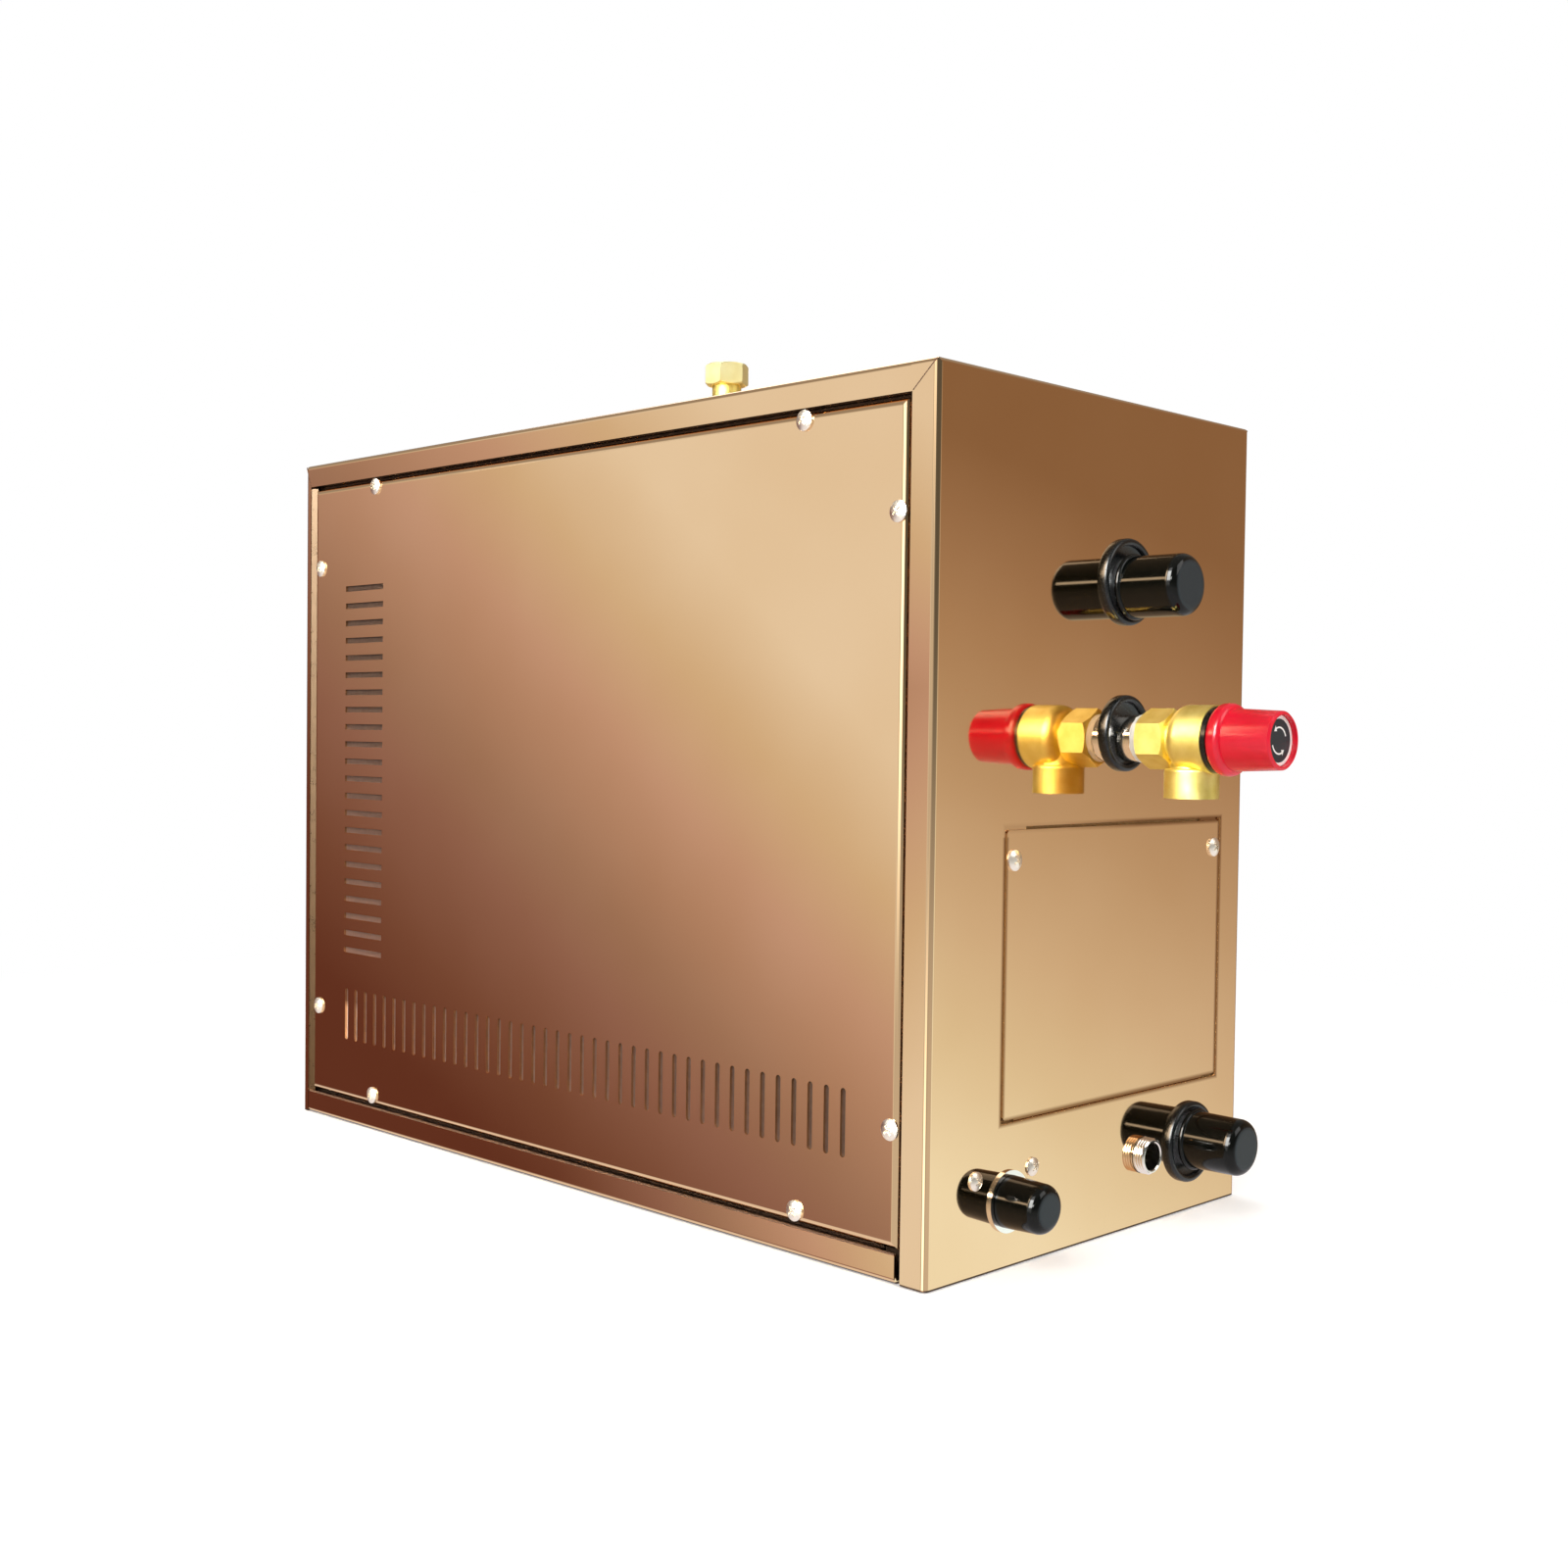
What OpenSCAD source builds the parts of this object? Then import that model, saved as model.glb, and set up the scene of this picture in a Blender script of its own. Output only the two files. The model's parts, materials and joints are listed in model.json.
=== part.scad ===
// Steam generator for a home sauna or steam bath.
// The casing stands on z = 0, centred on the origin. +X is the connection end,
// -Y the louvred side panel and +Z up. Millimetres.

/* [Casing] */
// Length of the casing
case_w = 490; // [485:1:540]
// Depth of the casing
case_d = 240; // [240:1:290]
// Height of the casing
case_h = 385; // [380:1:450]
// Thickness of the casing sheet
sheet_t = 1.2; // [1:0.1:1.5]
// Outer radius of the casing's bends
bend_r = 2.6; // [2:0.1:4]
// Width of the front flange at the connection end
end_flange = 14; // [11:0.1:15]
// Width of the front flange at the plain end
plain_flange = 5.6; // [5:0.1:7]
// Height of the front flange under the top
top_flange = 12.9; // [11:0.1:15]
// Height of the base pan's front upstand
upstand_h = 12.2; // [10:0.1:14]
// Height of the base pan's end upstands
end_upstand_h = 12; // [8:0.5:14]
// Depth of the folded panel edges and of the step behind them
step_d = 6; // [5:0.5:9]

/* [Panels] */
// Gap between side panel and end flange
panel_gap_end = 1.7; // [1:0.1:2.5]
// Gap between side panel and plain end flange
panel_gap_plain = 4.6; // [4:0.1:8]
// Gap above the side panel
panel_gap_top = 1.9; // [1:0.1:2.5]
// Gap below the side panel
panel_gap_base = 2.3; // [1:0.1:3]
// Outer radius of the side panel's folded edges
panel_r = 3.4; // [1.8:0.1:3.6]
// Distance of the side screws from the plain end
plain_screw_in = 17.7; // [17:0.1:19]
// Distance of the side screws from the connection end
end_screw_in = 20.2; // [19:0.1:22]
// Distance of the top and base screws from the casing's ends
row_screw_in = 75.5; // [55:0.5:105]
// Drop of the upper side screws below the top
side_screw_drop = 61.8; // [50:0.1:105]
// Height of the lower side screws
side_screw_z0 = 65; // [50:0.5:90]
// Drop of the top screws below the top
top_screw_drop = 18.3; // [17.6:0.1:20]
// Height of the base screws
base_screw_z = 20; // [19:0.1:22]

/* [Vents] */
// Pitch of the slots in the column
column_pitch = 9.96; // [8:0.02:10.2]
// Length of a flat slot
column_slot_l = 38.8; // [20:0.1:45]
// Height of a flat slot
column_slot_h = 3.2; // [1.5:0.1:3.5]
// Distance of the column's middle from the plain end
column_in = 63.9; // [60:0.1:75]
// Height of the lowest flat slot
column_z = 100.9; // [98:0.1:110]
// Least drop of the column's highest slot below the top
column_drop = 70; // [60:1:200]
// Least distance of the row of upright slots from the casing's ends
row_in = 46; // [40:1:120]
// Pitch of the upright slots
row_pitch = 9.875; // [7:0.025:10]
// Height of an upright slot
row_slot_h = 30; // [15:0.5:34]
// Width of an upright slot
row_slot_w = 3; // [1.5:0.1:3.5]
// Middle height of the row
row_z = 63.5; // [55:0.5:70]

/* [Access cover] */
// Distance of the access cover from the louvred side
cover_in_front = 50; // [45:0.5:60]
// Distance of the access cover from the back
cover_in_back = 21; // [17:0.5:30]
// Drop of the access cover's opening below the relief valve
cover_drop = 38.5; // [36:0.5:55]
// Height of the opening's lower edge
cover_z = 63; // [60:0.5:66]
// Gap round the access cover
cover_gap = 1.5; // [0.8:0.1:2]
// Distance of the cover's screws from its side edges
cover_screw_in = 5; // [4.5:0.1:8]
// Drop of the cover's screws below its top edge
cover_screw_drop = 13; // [9:0.5:18]
// Inset of the tucked-in tongue from the cover's sides
tongue_in = 9.5; // [6:0.5:20]
// Height of the tongue behind the sheet
tongue_h = 9; // [6:0.5:9.5]

/* [Screws] */
// Radius of a casing screw's head
screw_head_r = 4.6; // [4:0.1:4.8]
// Height of a casing screw's head
screw_head_h = 2.4; // [2:0.1:3]
// Radius of a casing screw's shank
screw_r = 2; // [1.5:0.1:2.2]
// Length of a casing screw's shank
screw_l = 9; // [9:0.5:12]
// Radius of a clamp screw's head
clamp_head_r = 4.1; // [2.5:0.1:4.4]

/* [Steam outlet] */
// Middle of the steam outlet and the relief valve across the casing
outlet_y = 15.7; // [5:0.1:25]
// Drop of the steam outlet below the tank's top
steam_drop = 25.7; // [22:0.1:30]
// Outer radius of the steam pipe
steam_r = 13.45; // [12:0.05:14]
// Wall of the steam pipe
steam_wall = 2; // [1.5:0.1:3]
// Outer radius of the steam grommet
steam_ring_r = 20; // [19.5:0.1:22]
// Height of the steam grommet's middle over the pipe's
steam_ring_up = 2.5; // [0:0.1:2.6]
// Length of the steam outlet's cap, from the casing
steam_cap_l = 34.5; // [28:0.5:40]

/* [Relief valve] */
// Drop of the relief valve below the tank's top
relief_drop = 95; // [85:0.5:110]
// Outer radius of the relief valve's pipe
relief_r = 10.65; // [10:0.05:10.9]
// Wall of the relief valve's pipe
relief_wall = 2.2; // [1.5:0.1:2.8]
// Outer radius of the relief valve's grommet
relief_ring_r = 17.65; // [17:0.05:19]
// Height of that grommet's middle above the pipe's
relief_ring_up = 2.3; // [0:0.1:2.5]
// Length of pipe in front of the casing
relief_standoff = 13.5; // [12:0.5:18]
// Width of the valve's hexagon across flats
relief_hex = 24; // [23.8:0.1:26]
// Length of the valve's hexagon
relief_hex_l = 14.5; // [13:0.5:18]
// Radius of the valve's neck
neck_r = 9.7; // [9.6:0.1:11]
// Radius of the valve's bell
bell_r = 15.4; // [15.2:0.1:17]
// Radius of the side outlet's stub
side_stub_r = 8.5; // [8:0.1:9]
// Radius of the side outlet's collar
side_collar_r = 12.2; // [11:0.1:13]
// Bore radius of the side outlet
side_bore_r = 6.8; // [5:0.1:7]
// Reach of the side outlet below the valve's axis
side_reach = 26.5; // [24:0.5:34]
// Height of the side outlet's collar
side_collar_h = 13.5; // [10:0.5:15]
// Lift of the stem over the cap's quarter turn
relief_lift = 2.5; // [1:0.1:2.5]
// Radius of the red cap's flange
cap_flange_r = 16.15; // [15.8:0.05:17.5]
// Length of the red cap
red_cap_l = 30; // [28:0.5:34]

/* [Base connections] */
// Distance of the cable entry from the louvred side
conduit_side = 54.8; // [50:0.1:58]
// Height of the cable entry
conduit_z = 29.1; // [27:0.1:31]
// Radius of the cable entry's tube
conduit_r = 10; // [8:0.1:10.5]
// Distance of the water inlet from the back
inlet_side = 82.7; // [80:0.1:86]
// Height of the water inlet
inlet_z = 33.3; // [31:0.1:36]
// Outer radius of the inlet nipple's thread
nipple_r = 8.6; // [8:0.1:9.5]
// Outer radius of the inlet nipple's shank
nipple_shank_r = 8.3; // [7.8:0.1:9]
// Bore radius of the inlet nipple
nipple_bore_r = 6.5; // [4:0.1:6.8]
// Length of nipple in front of the casing
nipple_l = 6; // [5:0.5:15]
// Distance of the drain from the back
drain_side = 43.5; // [42:0.1:45]
// Height of the drain
drain_z = 35.4; // [34:0.1:37]
// Radius of the drain pipe
drain_r = 13; // [11:0.1:13.4]
// Wall of the drain pipe
drain_wall = 2; // [1.5:0.1:3]
// Outer radius of the drain grommet
drain_ring_r = 19.6; // [19.5:0.1:20.5]
// Drop of that grommet's middle below the pipe's
drain_ring_drop = 1.6; // [0:0.1:1.8]

/* [Top plug] */
// Distance of the filler from the connection end
filler_in = 183; // [155:1:225]
// Distance of the filler from the louvred side
filler_side = 54; // [52:1:80]
// Outer radius of the filler's stub
filler_r = 7.2; // [6.5:0.1:8]
// Bore radius of the filler's stub
filler_bore_r = 5; // [4:0.1:5.6]
// Height of the stub above the casing
filler_up = 17.5; // [8:0.5:30]
// Width of the plug's hexagon across flats
plug_hex = 19; // [17:0.5:24]
// Height of the plug's hexagon
plug_h = 10.3; // [7:0.1:14]

/* [Tank] */
// Room between the tank and the plain end
control_room = 155; // [150:1:175]
// Room between the tank and each long side
tank_side_room = 28; // [26:1:32]
// Room between the tank and the top
tank_top_room = 60; // [56:1:65]
// Height of the tank's underside
tank_z = 105; // [103:0.5:107]
// Corner radius of the tank
tank_r = 20; // [15:1:20]
// Wall of the tank
tank_wall = 1.5; // [1:0.1:2.5]
// Room between the tank and the connection end
tank_room = 80; // [79:0.5:85]
// Thickness of the insulation
wool_t = 12; // [8:0.5:13]
// Height of the heater's middle above the tank's underside
heater_up = 50; // [46:0.5:56]
// Room between the hairpins' bends and the tank's end
hairpin_room = 65; // [60:1:135]
// Radius of a heater's sheath
hairpin_r = 4; // [3:0.1:4.5]

/* [Hidden] */
$fn = 96;

// Overrun of every cut
over = 2;
// Clearance between fixed round pieces
fit = 0.05;
// Running clearance of pieces that slide or turn
run = 0.05;
// Clearance between pieces that only pass each other
pass = 0.3;

// Planes of the casing
end_x = case_w / 2;
half_d = case_d / 2;
end_in_x = end_x - sheet_t;
// Lowest edge of the wrap, and its clearance over the base pan's floor
wrap_z = 0.3;
floor_gap = 0.5;
open_x0 = -end_x + plain_flange;
open_x1 = end_x - end_flange;
open_z1 = case_h - top_flange;
panel_x0 = open_x0 + panel_gap_plain;
panel_x1 = open_x1 - panel_gap_end;
panel_z0 = upstand_h + panel_gap_base;
panel_z1 = open_z1 - panel_gap_top;
top_screw_z = case_h - top_screw_drop;
plain_screw_x = end_x - plain_screw_in;
end_screw_x = end_x - end_screw_in;
row_screw_x = end_x - row_screw_in;
side_screw_z1 = case_h - side_screw_drop;
// Width of sheet kept round a screw in a mounting flange
screw_land = 7;
mount_x = end_screw_x - screw_land;
mount_z1 = top_screw_z - screw_land;
mount_z0 = base_screw_z + screw_land;
mount_gap = 1;
step_y = half_d - step_d - sheet_t;
// Gaps between the base pan's upstands and the flanges at the two ends
upstand_gap_plain = 0.5;
upstand_gap_end = 3.1;
upstand_x0 = open_x0 + upstand_gap_plain;
upstand_x1 = open_x1 - upstand_gap_end;
// Screws' clearance holes, and the recess in their heads
screw_clear = 0.25;
recess_w = 0.9;
recess_l = 5;
recess_d = 1.3;
dome_r = 7.8;
screw_turn = 37;
clamp_screw_r = 1.5;
clamp_screw_l = 7;
clamp_head_h = 2.2;
clamp_recess_share = 0.8;
// Fixing holes in the base pan
fix_r = 3.25;
fix_in_x = 20;
fix_in_y = 20;

// Slots that the panel has room for
column_x = -end_x + column_in;
column_n = floor((case_h - column_drop - column_z) / column_pitch) + 1;
row_n = floor((case_w - 2 * row_in) / row_pitch) + 1;

// Tank, which takes the room that the casing leaves it, and what follows from it
tank_l = case_w - tank_room - control_room;
tank_d = case_d - 2 * tank_side_room;
tank_h = case_h - tank_z - tank_top_room;
tank_x1 = end_x - tank_room;
tank_x0 = tank_x1 - tank_l;
tank_z1 = tank_z + tank_h;
hairpin_l = tank_l - hairpin_room;
steam_z = tank_z1 - steam_drop;
relief_z = tank_z1 - relief_drop;
pipe_dip = 8;
filler_x = end_x - filler_in;
filler_y = -half_d + filler_side;
conduit_y = -half_d + conduit_side;
inlet_y = half_d - inlet_side;
drain_y = half_d - drain_side;

// Access cover and the tabs that carry its screws
cover_y0 = -half_d + cover_in_front;
cover_y1 = half_d - cover_in_back;
cover_w = cover_y1 - cover_y0;
cover_y = (cover_y0 + cover_y1) / 2;
cover_h = relief_z - cover_drop - cover_z;
cover_z0 = cover_z + cover_gap;
cover_z1 = cover_z + cover_h - cover_gap;
cover_r = 2;
cover_screw_z = cover_z1 - cover_screw_drop;
tab_half = 10;
tab_up = 10;
tongue_gap = 0.1;
joggle_h = 2;

// Grommets
ring_t = 3;
ring_round = 1.2;
ring_groove = 3;
ring_back_t = 2.5;
ring_back_less = 1;

// Vinyl caps
cap_wall = 0.65;
cap_end_wall = 4.2;
cap_round = 4.8;
rim_r = 1.3;
rim_out = 0.2;
conduit_cap_wall = 1.4;
conduit_cap_l = 22.5;
conduit_out = conduit_cap_l - cap_end_wall - pass;
conduit_cap_taper = 0.6;
drain_cap_l = 32.4;

// Relief valve, measured out from the casing
hex_e0 = relief_standoff;
hex_e1 = hex_e0 + relief_hex_l;
socket_l = 8;
tape_l = 4.5;
tape_t = 0.3;
seat_wall = 6.5;
seat_e = hex_e0 + socket_l + seat_wall;
seat_r = 5;
neck_wall = 1.7;
chamber_r = neck_r - neck_wall;
neck_l = 2.5;
side_in = 8.6;
side_e = hex_e1 + side_in;
side_port_r = 5;
bell_e0 = hex_e1 + neck_l;
bell_l = 19;
bell_face = bell_e0 + bell_l;
bell_shoulder = 5.4;
side_foot_more = 2.2;
side_collar_round = 1.5;
bonnet_sink = 4.5;
bell_wall = 1.5;
bonnet_r = bell_r - bell_wall;
hub_r = 8;
hub_l = 10;
gasket_t = 2.3;
gasket_r = 14.9;
red_gap = 0.2;
red_e0 = bell_face + gasket_t + red_gap;
red_flange_l = 7;
red_flange_round = 2.5;
red_body_r = 14;
red_end_r = 12.9;
red_end_bevel = 0.8;
red_end_wall = 8;
red_e1 = red_e0 + red_cap_l;
red_bore_r = 11;
red_recess_r = 11.2;
red_recess_d = 5.4;
disc_t = 1;
disc_sink = 2.4;
stem_r = 2.5;
stem_head_r = 5;
stem_head_t = 1.8;
seal_t = 2;
seal_r = 7;
holder_t = 4;
spring_wire = 0.7;
spring_coil_r = 4.6;
spring_turns = 6;
spring_room = 0.3;

// Cable entry
conduit_wall = 1.5;
conduit_in = 20;
conduit_collar_r = 13.6;
conduit_collar_t = 1.2;
nut_t = 5;
conduit_nut_af = 25;
nipple_nut_af = 24;
clamp_front = 22.8;
clamp_back = 16.6;
clamp_up = 12.4;
clamp_y0 = conduit_y - clamp_front;
clamp_y1 = conduit_y + clamp_back;
clamp_z = conduit_z + clamp_up;
clamp_half_h = 5.5;
clamp_t = 1.5;
clamp_lug = 6;
clamp_lug_in = 2;
clamp_deep = 24;

// Plain length of the inlet nipple in front of the casing
nipple_relief = 0.5;

// Solenoid valves
valve_l = 44;
valve_r = 14;
valve_neck_r = 12;
valve_in = 25;
valve_bore_r = 6;
valve_port_r = 1.4;
seat_hole_r = 3;
port_off = 6.7;
seat_land = 0.6;
weir_t = 1.1;
gallery_r = 8.5;
gallery_h = 3;
gallery_up = 8;
coil_w = 30;
coil_h = 30;
tube_r = 7;
tube_bore_r = 5;
tube_cap = 2;
tube_up = 4;
plunger_lift = 2;
plunger_l = 20;
valve_spring_r = 3.2;
valve_spring_wire = 0.45;
valve_spring_turns = 7;
coil_nut_r = 9;
coil_nut_t = 3;
spade_w = 6.3;
spade_t = 0.8;
spade_l = 8;

// Pipes under the tank
feed_r = 8;
feed_wall = 1.5;
feed_in = 65;
drain_in = 105;
feed_up_x = tank_x1 - feed_in;
drain_up_x = tank_x1 - drain_in;
under_r = 9;
elbow_r = 20;
drain_dip = 8;

// Tank stands
stand_t = 3;
stand_foot = 12;
stand_less = 22;
stand_half = tank_d / 2 - stand_less;
stand_in_l = 40;
stand_in_r = 35;
arch_side = 17;
arch_y0 = inlet_y - arch_side;
arch_h = 60;
stand_slit = 0.4;
rim_t = 2;
rim_w = 3;

// Heater
boss_r = 42;
boss_t = 5;
boss_bore_r = 30;
heat_gasket_t = 2;
heat_flange_t = 6;
heat_bolt_n = 6;
heat_bolt_ring = 36;
heat_bolt_r = 3;
heat_bolt_af = 10;
heat_bolt_h = 4;
pin_half = 15;
pin_pitch = 18;
bush_r = 5.5;
bush_l = 8;
terminal_r = 2;
terminal_l = 12;

// Level chamber
level_out = 35;
level_side = 2;
level_up = 25;
level_drop = 35;
level_x = tank_x0 - level_out;
level_y = tank_d / 2 - tank_r - level_side;
level_r = 16;
level_wall = 2;
level_z0 = tank_z + level_up;
level_z1 = tank_z1 - level_drop;
level_lid_t = 3;
link_r = 5;
link_wall = 1;
link_in = 18;
rod_r = 4;
float_r = 12;
float_l = 30;
float_up = 35;
float_head = 15;
float_z = level_z0 + float_up;
float_rise = level_z1 - float_head - float_l - float_z;
stop_r = 6;
stop_t = 3;

// Partition with the control board
part_out = 60;
part_drop = 30;
part_gap = 2;
part_x = tank_x0 - part_out;
part_t = 1.5;
part_top = case_h - part_drop;
part_half = step_y - part_gap;
part_foot = 12;
part_hole_r = 12;
board_t = 1.6;
board_off = 8;
board_front = 35;
board_back = 75;
board_drop = 65;
board_y0 = -half_d + board_front;
board_y1 = half_d - board_back;
board_z0 = 120;
board_z1 = part_top - board_drop;
board_in = 6;
post_r = 3;
relay_w = 16;
relay_h = 20;
relay_d = 15;
relay_n = 4;
relay_pitch = 22;
strip_w = 9;
strip_l = 70;
strip_d = 12;
cap_can_r = 6;
cap_can_l = 20;
trafo_in = 52;
trafo_side = 38;
trafo_x = -end_x + trafo_in;
trafo_y = -half_d + trafo_side;
trafo_w = 44;
trafo_core_d = 22;
trafo_d = 38;
trafo_h = 52;
trafo_foot = 8;
trafo_foot_t = 2;
bobbin_in = 8;

// Component plate behind the access cover
plate_room = 10.3;
plate_t = 1.5;
plate_front = 40;
plate_back = 20;
plate_over = 4.5;
plate_y0 = -half_d + plate_front;
plate_y1 = half_d - plate_back;
plate_z0 = 92;
plate_z1 = cover_z + cover_h + plate_over;
leg_w = 18;
leg_side = 49.3;
leg_y = inlet_y - leg_side;
block_in = 10;
block_y0 = plate_y0 + block_in;
block_pole = 15;
block_poles = 5;
block_z = 118;
block_h = 28;
block_d = 20;
block_hole_r = 2.6;
block_step = 6;
con_side = 1;
con_y = outlet_y + relief_r + con_side;
con_w = 45;
con_z = 106;
con_h = 75;
con_base_d = 24;
con_top_d = 20;
plate_x = end_in_x - plate_room - con_base_d - con_top_d - plate_t;
con_top_h = 55;
con_slot_w = 9;
con_slot_h = 8;
con_slot_d = 10;
arm_w = 12;
arm_h = 9;
arm_l = 12;
arm_travel = 4;
arm_pocket = 20;
arm_spring_r = 3;
arm_spring_wire = 0.4;
arm_spring_turns = 4;

// High-limit thermostat on the tank's end wall
limit_y = -45;
limit_drop = 70;
limit_z = tank_z1 - limit_drop;
limit_r = 11;
limit_l = 14;
limit_foot_w = 34;
limit_foot_t = 1.5;
button_r = 3;
button_l = 9;
button_out = 4;
button_travel = 1.5;

// Springs' facets
spring_sides = 6;
spring_rings = 8;

// Helpers

// Turns what stands along +Z so that it lies along +X
module along_x() {
    rotate([0, 90, 0]) children();
}

// Places something on the connection end, e out from its face
module at_end(y, z, e) {
    translate([end_x + e, y, z]) along_x() children();
}

module tube(r_out, r_in, len) {
    difference() {
        cylinder(r = r_out, h = len);
        translate([0, 0, -over]) cylinder(r = r_in, h = len + 2 * over);
    }
}

// Rectangle with round corners, centred
module round_rect(w, h, r) {
    square([w - 2 * r, h], center = true);
    square([w, h - 2 * r], center = true);
    for (sx = [-1, 1], sy = [-1, 1])
        translate([sx * (w / 2 - r), sy * (h / 2 - r)]) circle(r = r);
}

// Extrudes a YZ outline along X, from x0 to x1
module sweep_x(x0, x1) {
    translate([x0, 0, 0]) rotate([90, 0, 90]) linear_extrude(x1 - x0) children();
}

// Extrudes an XZ outline along Y, from y0 to y1
module sweep_y(y0, y1) {
    translate([0, y1, 0]) rotate([90, 0, 0]) linear_extrude(y1 - y0) children();
}

// Block between two corners
module block(a, b) {
    translate(a) cube(b - a);
}

// Hexagonal prism with its corners turned off at both ends
module hex_bar(across, h) {
    corner = across / cos(30) / 2;
    chamfer = corner - across / 2;
    intersection() {
        cylinder(r = corner, h = h, $fn = 6);
        rotate_extrude() polygon([
            [0, 0], [across / 2, 0], [corner, chamfer * hex_chamfer_share],
            [corner, h - chamfer * hex_chamfer_share], [across / 2, h], [0, h]
        ]);
    }
}
hex_chamfer_share = 0.6;

// Points of one ring of a helix, and the helix as one unbroken wire
function helix_ring(r, w, a, z) = [
    for (k = [0 : spring_sides - 1])
        let (t = 360 * k / spring_sides)
            [(r + w * cos(t)) * cos(a), (r + w * cos(t)) * sin(a), z + w * sin(t)]
];

module helix(r, w, turns, h) {
    s = spring_sides;
    n = turns * spring_rings;
    points = [for (i = [0 : n]) each helix_ring(r, w, 360 * turns * i / n, w + (h - 2 * w) * i / n)];
    sides = [
        for (i = [0 : n - 1], k = [0 : s - 1])
            let (a = i * s + k, b = i * s + (k + 1) % s, c = b + s, d = a + s)
                each [[a, b, c], [a, c, d]]
    ];
    start = [for (k = [1 : s - 2]) [0, k + 1, k]];
    finish = [for (k = [1 : s - 2]) [n * s, n * s + k, n * s + k + 1]];
    polyhedron(points = points, faces = concat(sides, start, finish));
}

// Casing

// Closed casing form, drawn in by i on every side but the base
module casing_form(i, z0) {
    w = case_w - 2 * i;
    d = case_d - 2 * i;
    h = case_h - i;
    r = bend_r - i;
    intersection() {
        translate([0, 0, z0]) linear_extrude(h - z0) round_rect(w, d, r);
        sweep_y(-half_d, half_d) round_rect(w, 2 * h, r);
        sweep_x(-end_x, end_x) round_rect(d, 2 * h, r);
    }
}

// Step behind one long side's opening, with the flange that the panel is screwed to
module wrap_step() {
    z0 = sheet_t + floor_gap;
    difference() {
        block([open_x0 - sheet_t, -half_d, z0], [open_x1 + sheet_t, -step_y, open_z1 + sheet_t]);
        block([open_x0, -half_d - over, z0 - over], [open_x1, -step_y - sheet_t, open_z1]);
        block([-mount_x, -half_d - over, z0 - over], [mount_x, -step_y + over, mount_z1]);
        side_screw_holes(screw_r + fit);
    }
}

module side_screw_places() {
    for (x = [-plain_screw_x, end_screw_x], z = [side_screw_z0, side_screw_z1])
        translate([x, -half_d, z]) children();
    for (x = [-row_screw_x, row_screw_x], z = [base_screw_z, top_screw_z])
        translate([x, -half_d, z]) children();
}

module side_screw_holes(r) {
    side_screw_places()
        rotate([90, 0, 0]) translate([0, 0, -step_d - over - sheet_t])
            cylinder(r = r, h = step_d + sheet_t + 2 * over);
}

module cover_screw_places() {
    for (y = [cover_y0 + cover_screw_in, cover_y1 - cover_screw_in])
        at_end(y, cover_screw_z, 0) children();
}

module clamp_screw_places() {
    for (y = [clamp_y0, clamp_y1])
        at_end(y, clamp_z, 0) children();
}

module both_long_sides() {
    children();
    mirror([0, 1, 0]) children();
}

module wrap() {
    color("tan") difference() {
        union() {
            difference() {
                casing_form(0, wrap_z);
                casing_form(sheet_t, -over);
                both_long_sides()
                    block([open_x0, -half_d - over, -over], [open_x1, -half_d + sheet_t + over, open_z1]);
            }
            both_long_sides() wrap_step();
            for (y = [cover_y0 + cover_screw_in, cover_y1 - cover_screw_in])
                block([end_in_x - sheet_t, y - tab_half, cover_screw_z - tab_half],
                      [end_in_x, y + tab_half, cover_z1 + cover_gap + tab_up]);
        }
        translate([end_in_x - tongue_gap, cover_y, cover_z + cover_h / 2])
            rotate([90, 0, 90]) linear_extrude(sheet_t + over)
                round_rect(cover_w + 2 * cover_gap, cover_h, cover_r);
        cover_screw_places() translate([0, 0, -screw_l]) cylinder(r = screw_r + fit, h = screw_l + over);
        clamp_screw_places() translate([0, 0, -clamp_screw_l])
            cylinder(r = clamp_screw_r + fit, h = clamp_screw_l + over);
        end_hole(outlet_y, steam_z + steam_ring_up, steam_ring_r - ring_groove);
        end_hole(outlet_y, relief_z + relief_ring_up, relief_ring_r - ring_groove);
        end_hole(drain_y, drain_z - drain_ring_drop, drain_ring_r - ring_groove);
        end_hole(conduit_y, conduit_z, conduit_r + fit);
        end_hole(inlet_y, inlet_z, nipple_r + fit);
        translate([filler_x, filler_y, case_h - sheet_t - over])
            cylinder(r = filler_r + pass, h = sheet_t + 2 * over);
    }
}

module end_hole(y, z, r) {
    at_end(y, z, -sheet_t - over) cylinder(r = r, h = sheet_t + 2 * over);
}

module base_channel(half, wall_half, h) {
    // Outline of a tray: a rounded rectangle with its upper half cut off
    difference() {
        translate([0, h]) round_rect(2 * half, 2 * h, bend_r);
        translate([0, h]) round_rect(2 * (half - sheet_t), 2 * (h - sheet_t), bend_r - sheet_t);
        translate([-half - over, h]) square([2 * (half + over), h + over]);
    }
}

// Step behind one long side's base upstand
module base_step() {
    x = mount_x - mount_gap;
    difference() {
        block([-x, -half_d + sheet_t / 2, upstand_h - sheet_t], [x, -step_y, mount_z0]);
        block([-x - over, -half_d, upstand_h], [x + over, -step_y - sheet_t, mount_z0 + over]);
        side_screw_holes(screw_r + fit);
    }
}

module base_pan() {
    end_half = end_in_x - pass;
    side_half = step_y - pass;
    color("tan") difference() {
        union() {
            sweep_x(upstand_x0, upstand_x1) base_channel(half_d, half_d, upstand_h);
            sweep_y(-side_half, side_half) base_channel(end_half, end_half, end_upstand_h);
            both_long_sides() base_step();
        }
        for (sx = [-1, 1], sy = [-1, 1])
            translate([sx * (end_x - fix_in_x), sy * (half_d - fix_in_y), -over])
                cylinder(r = fix_r, h = sheet_t + 2 * over);
    }
}

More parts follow.
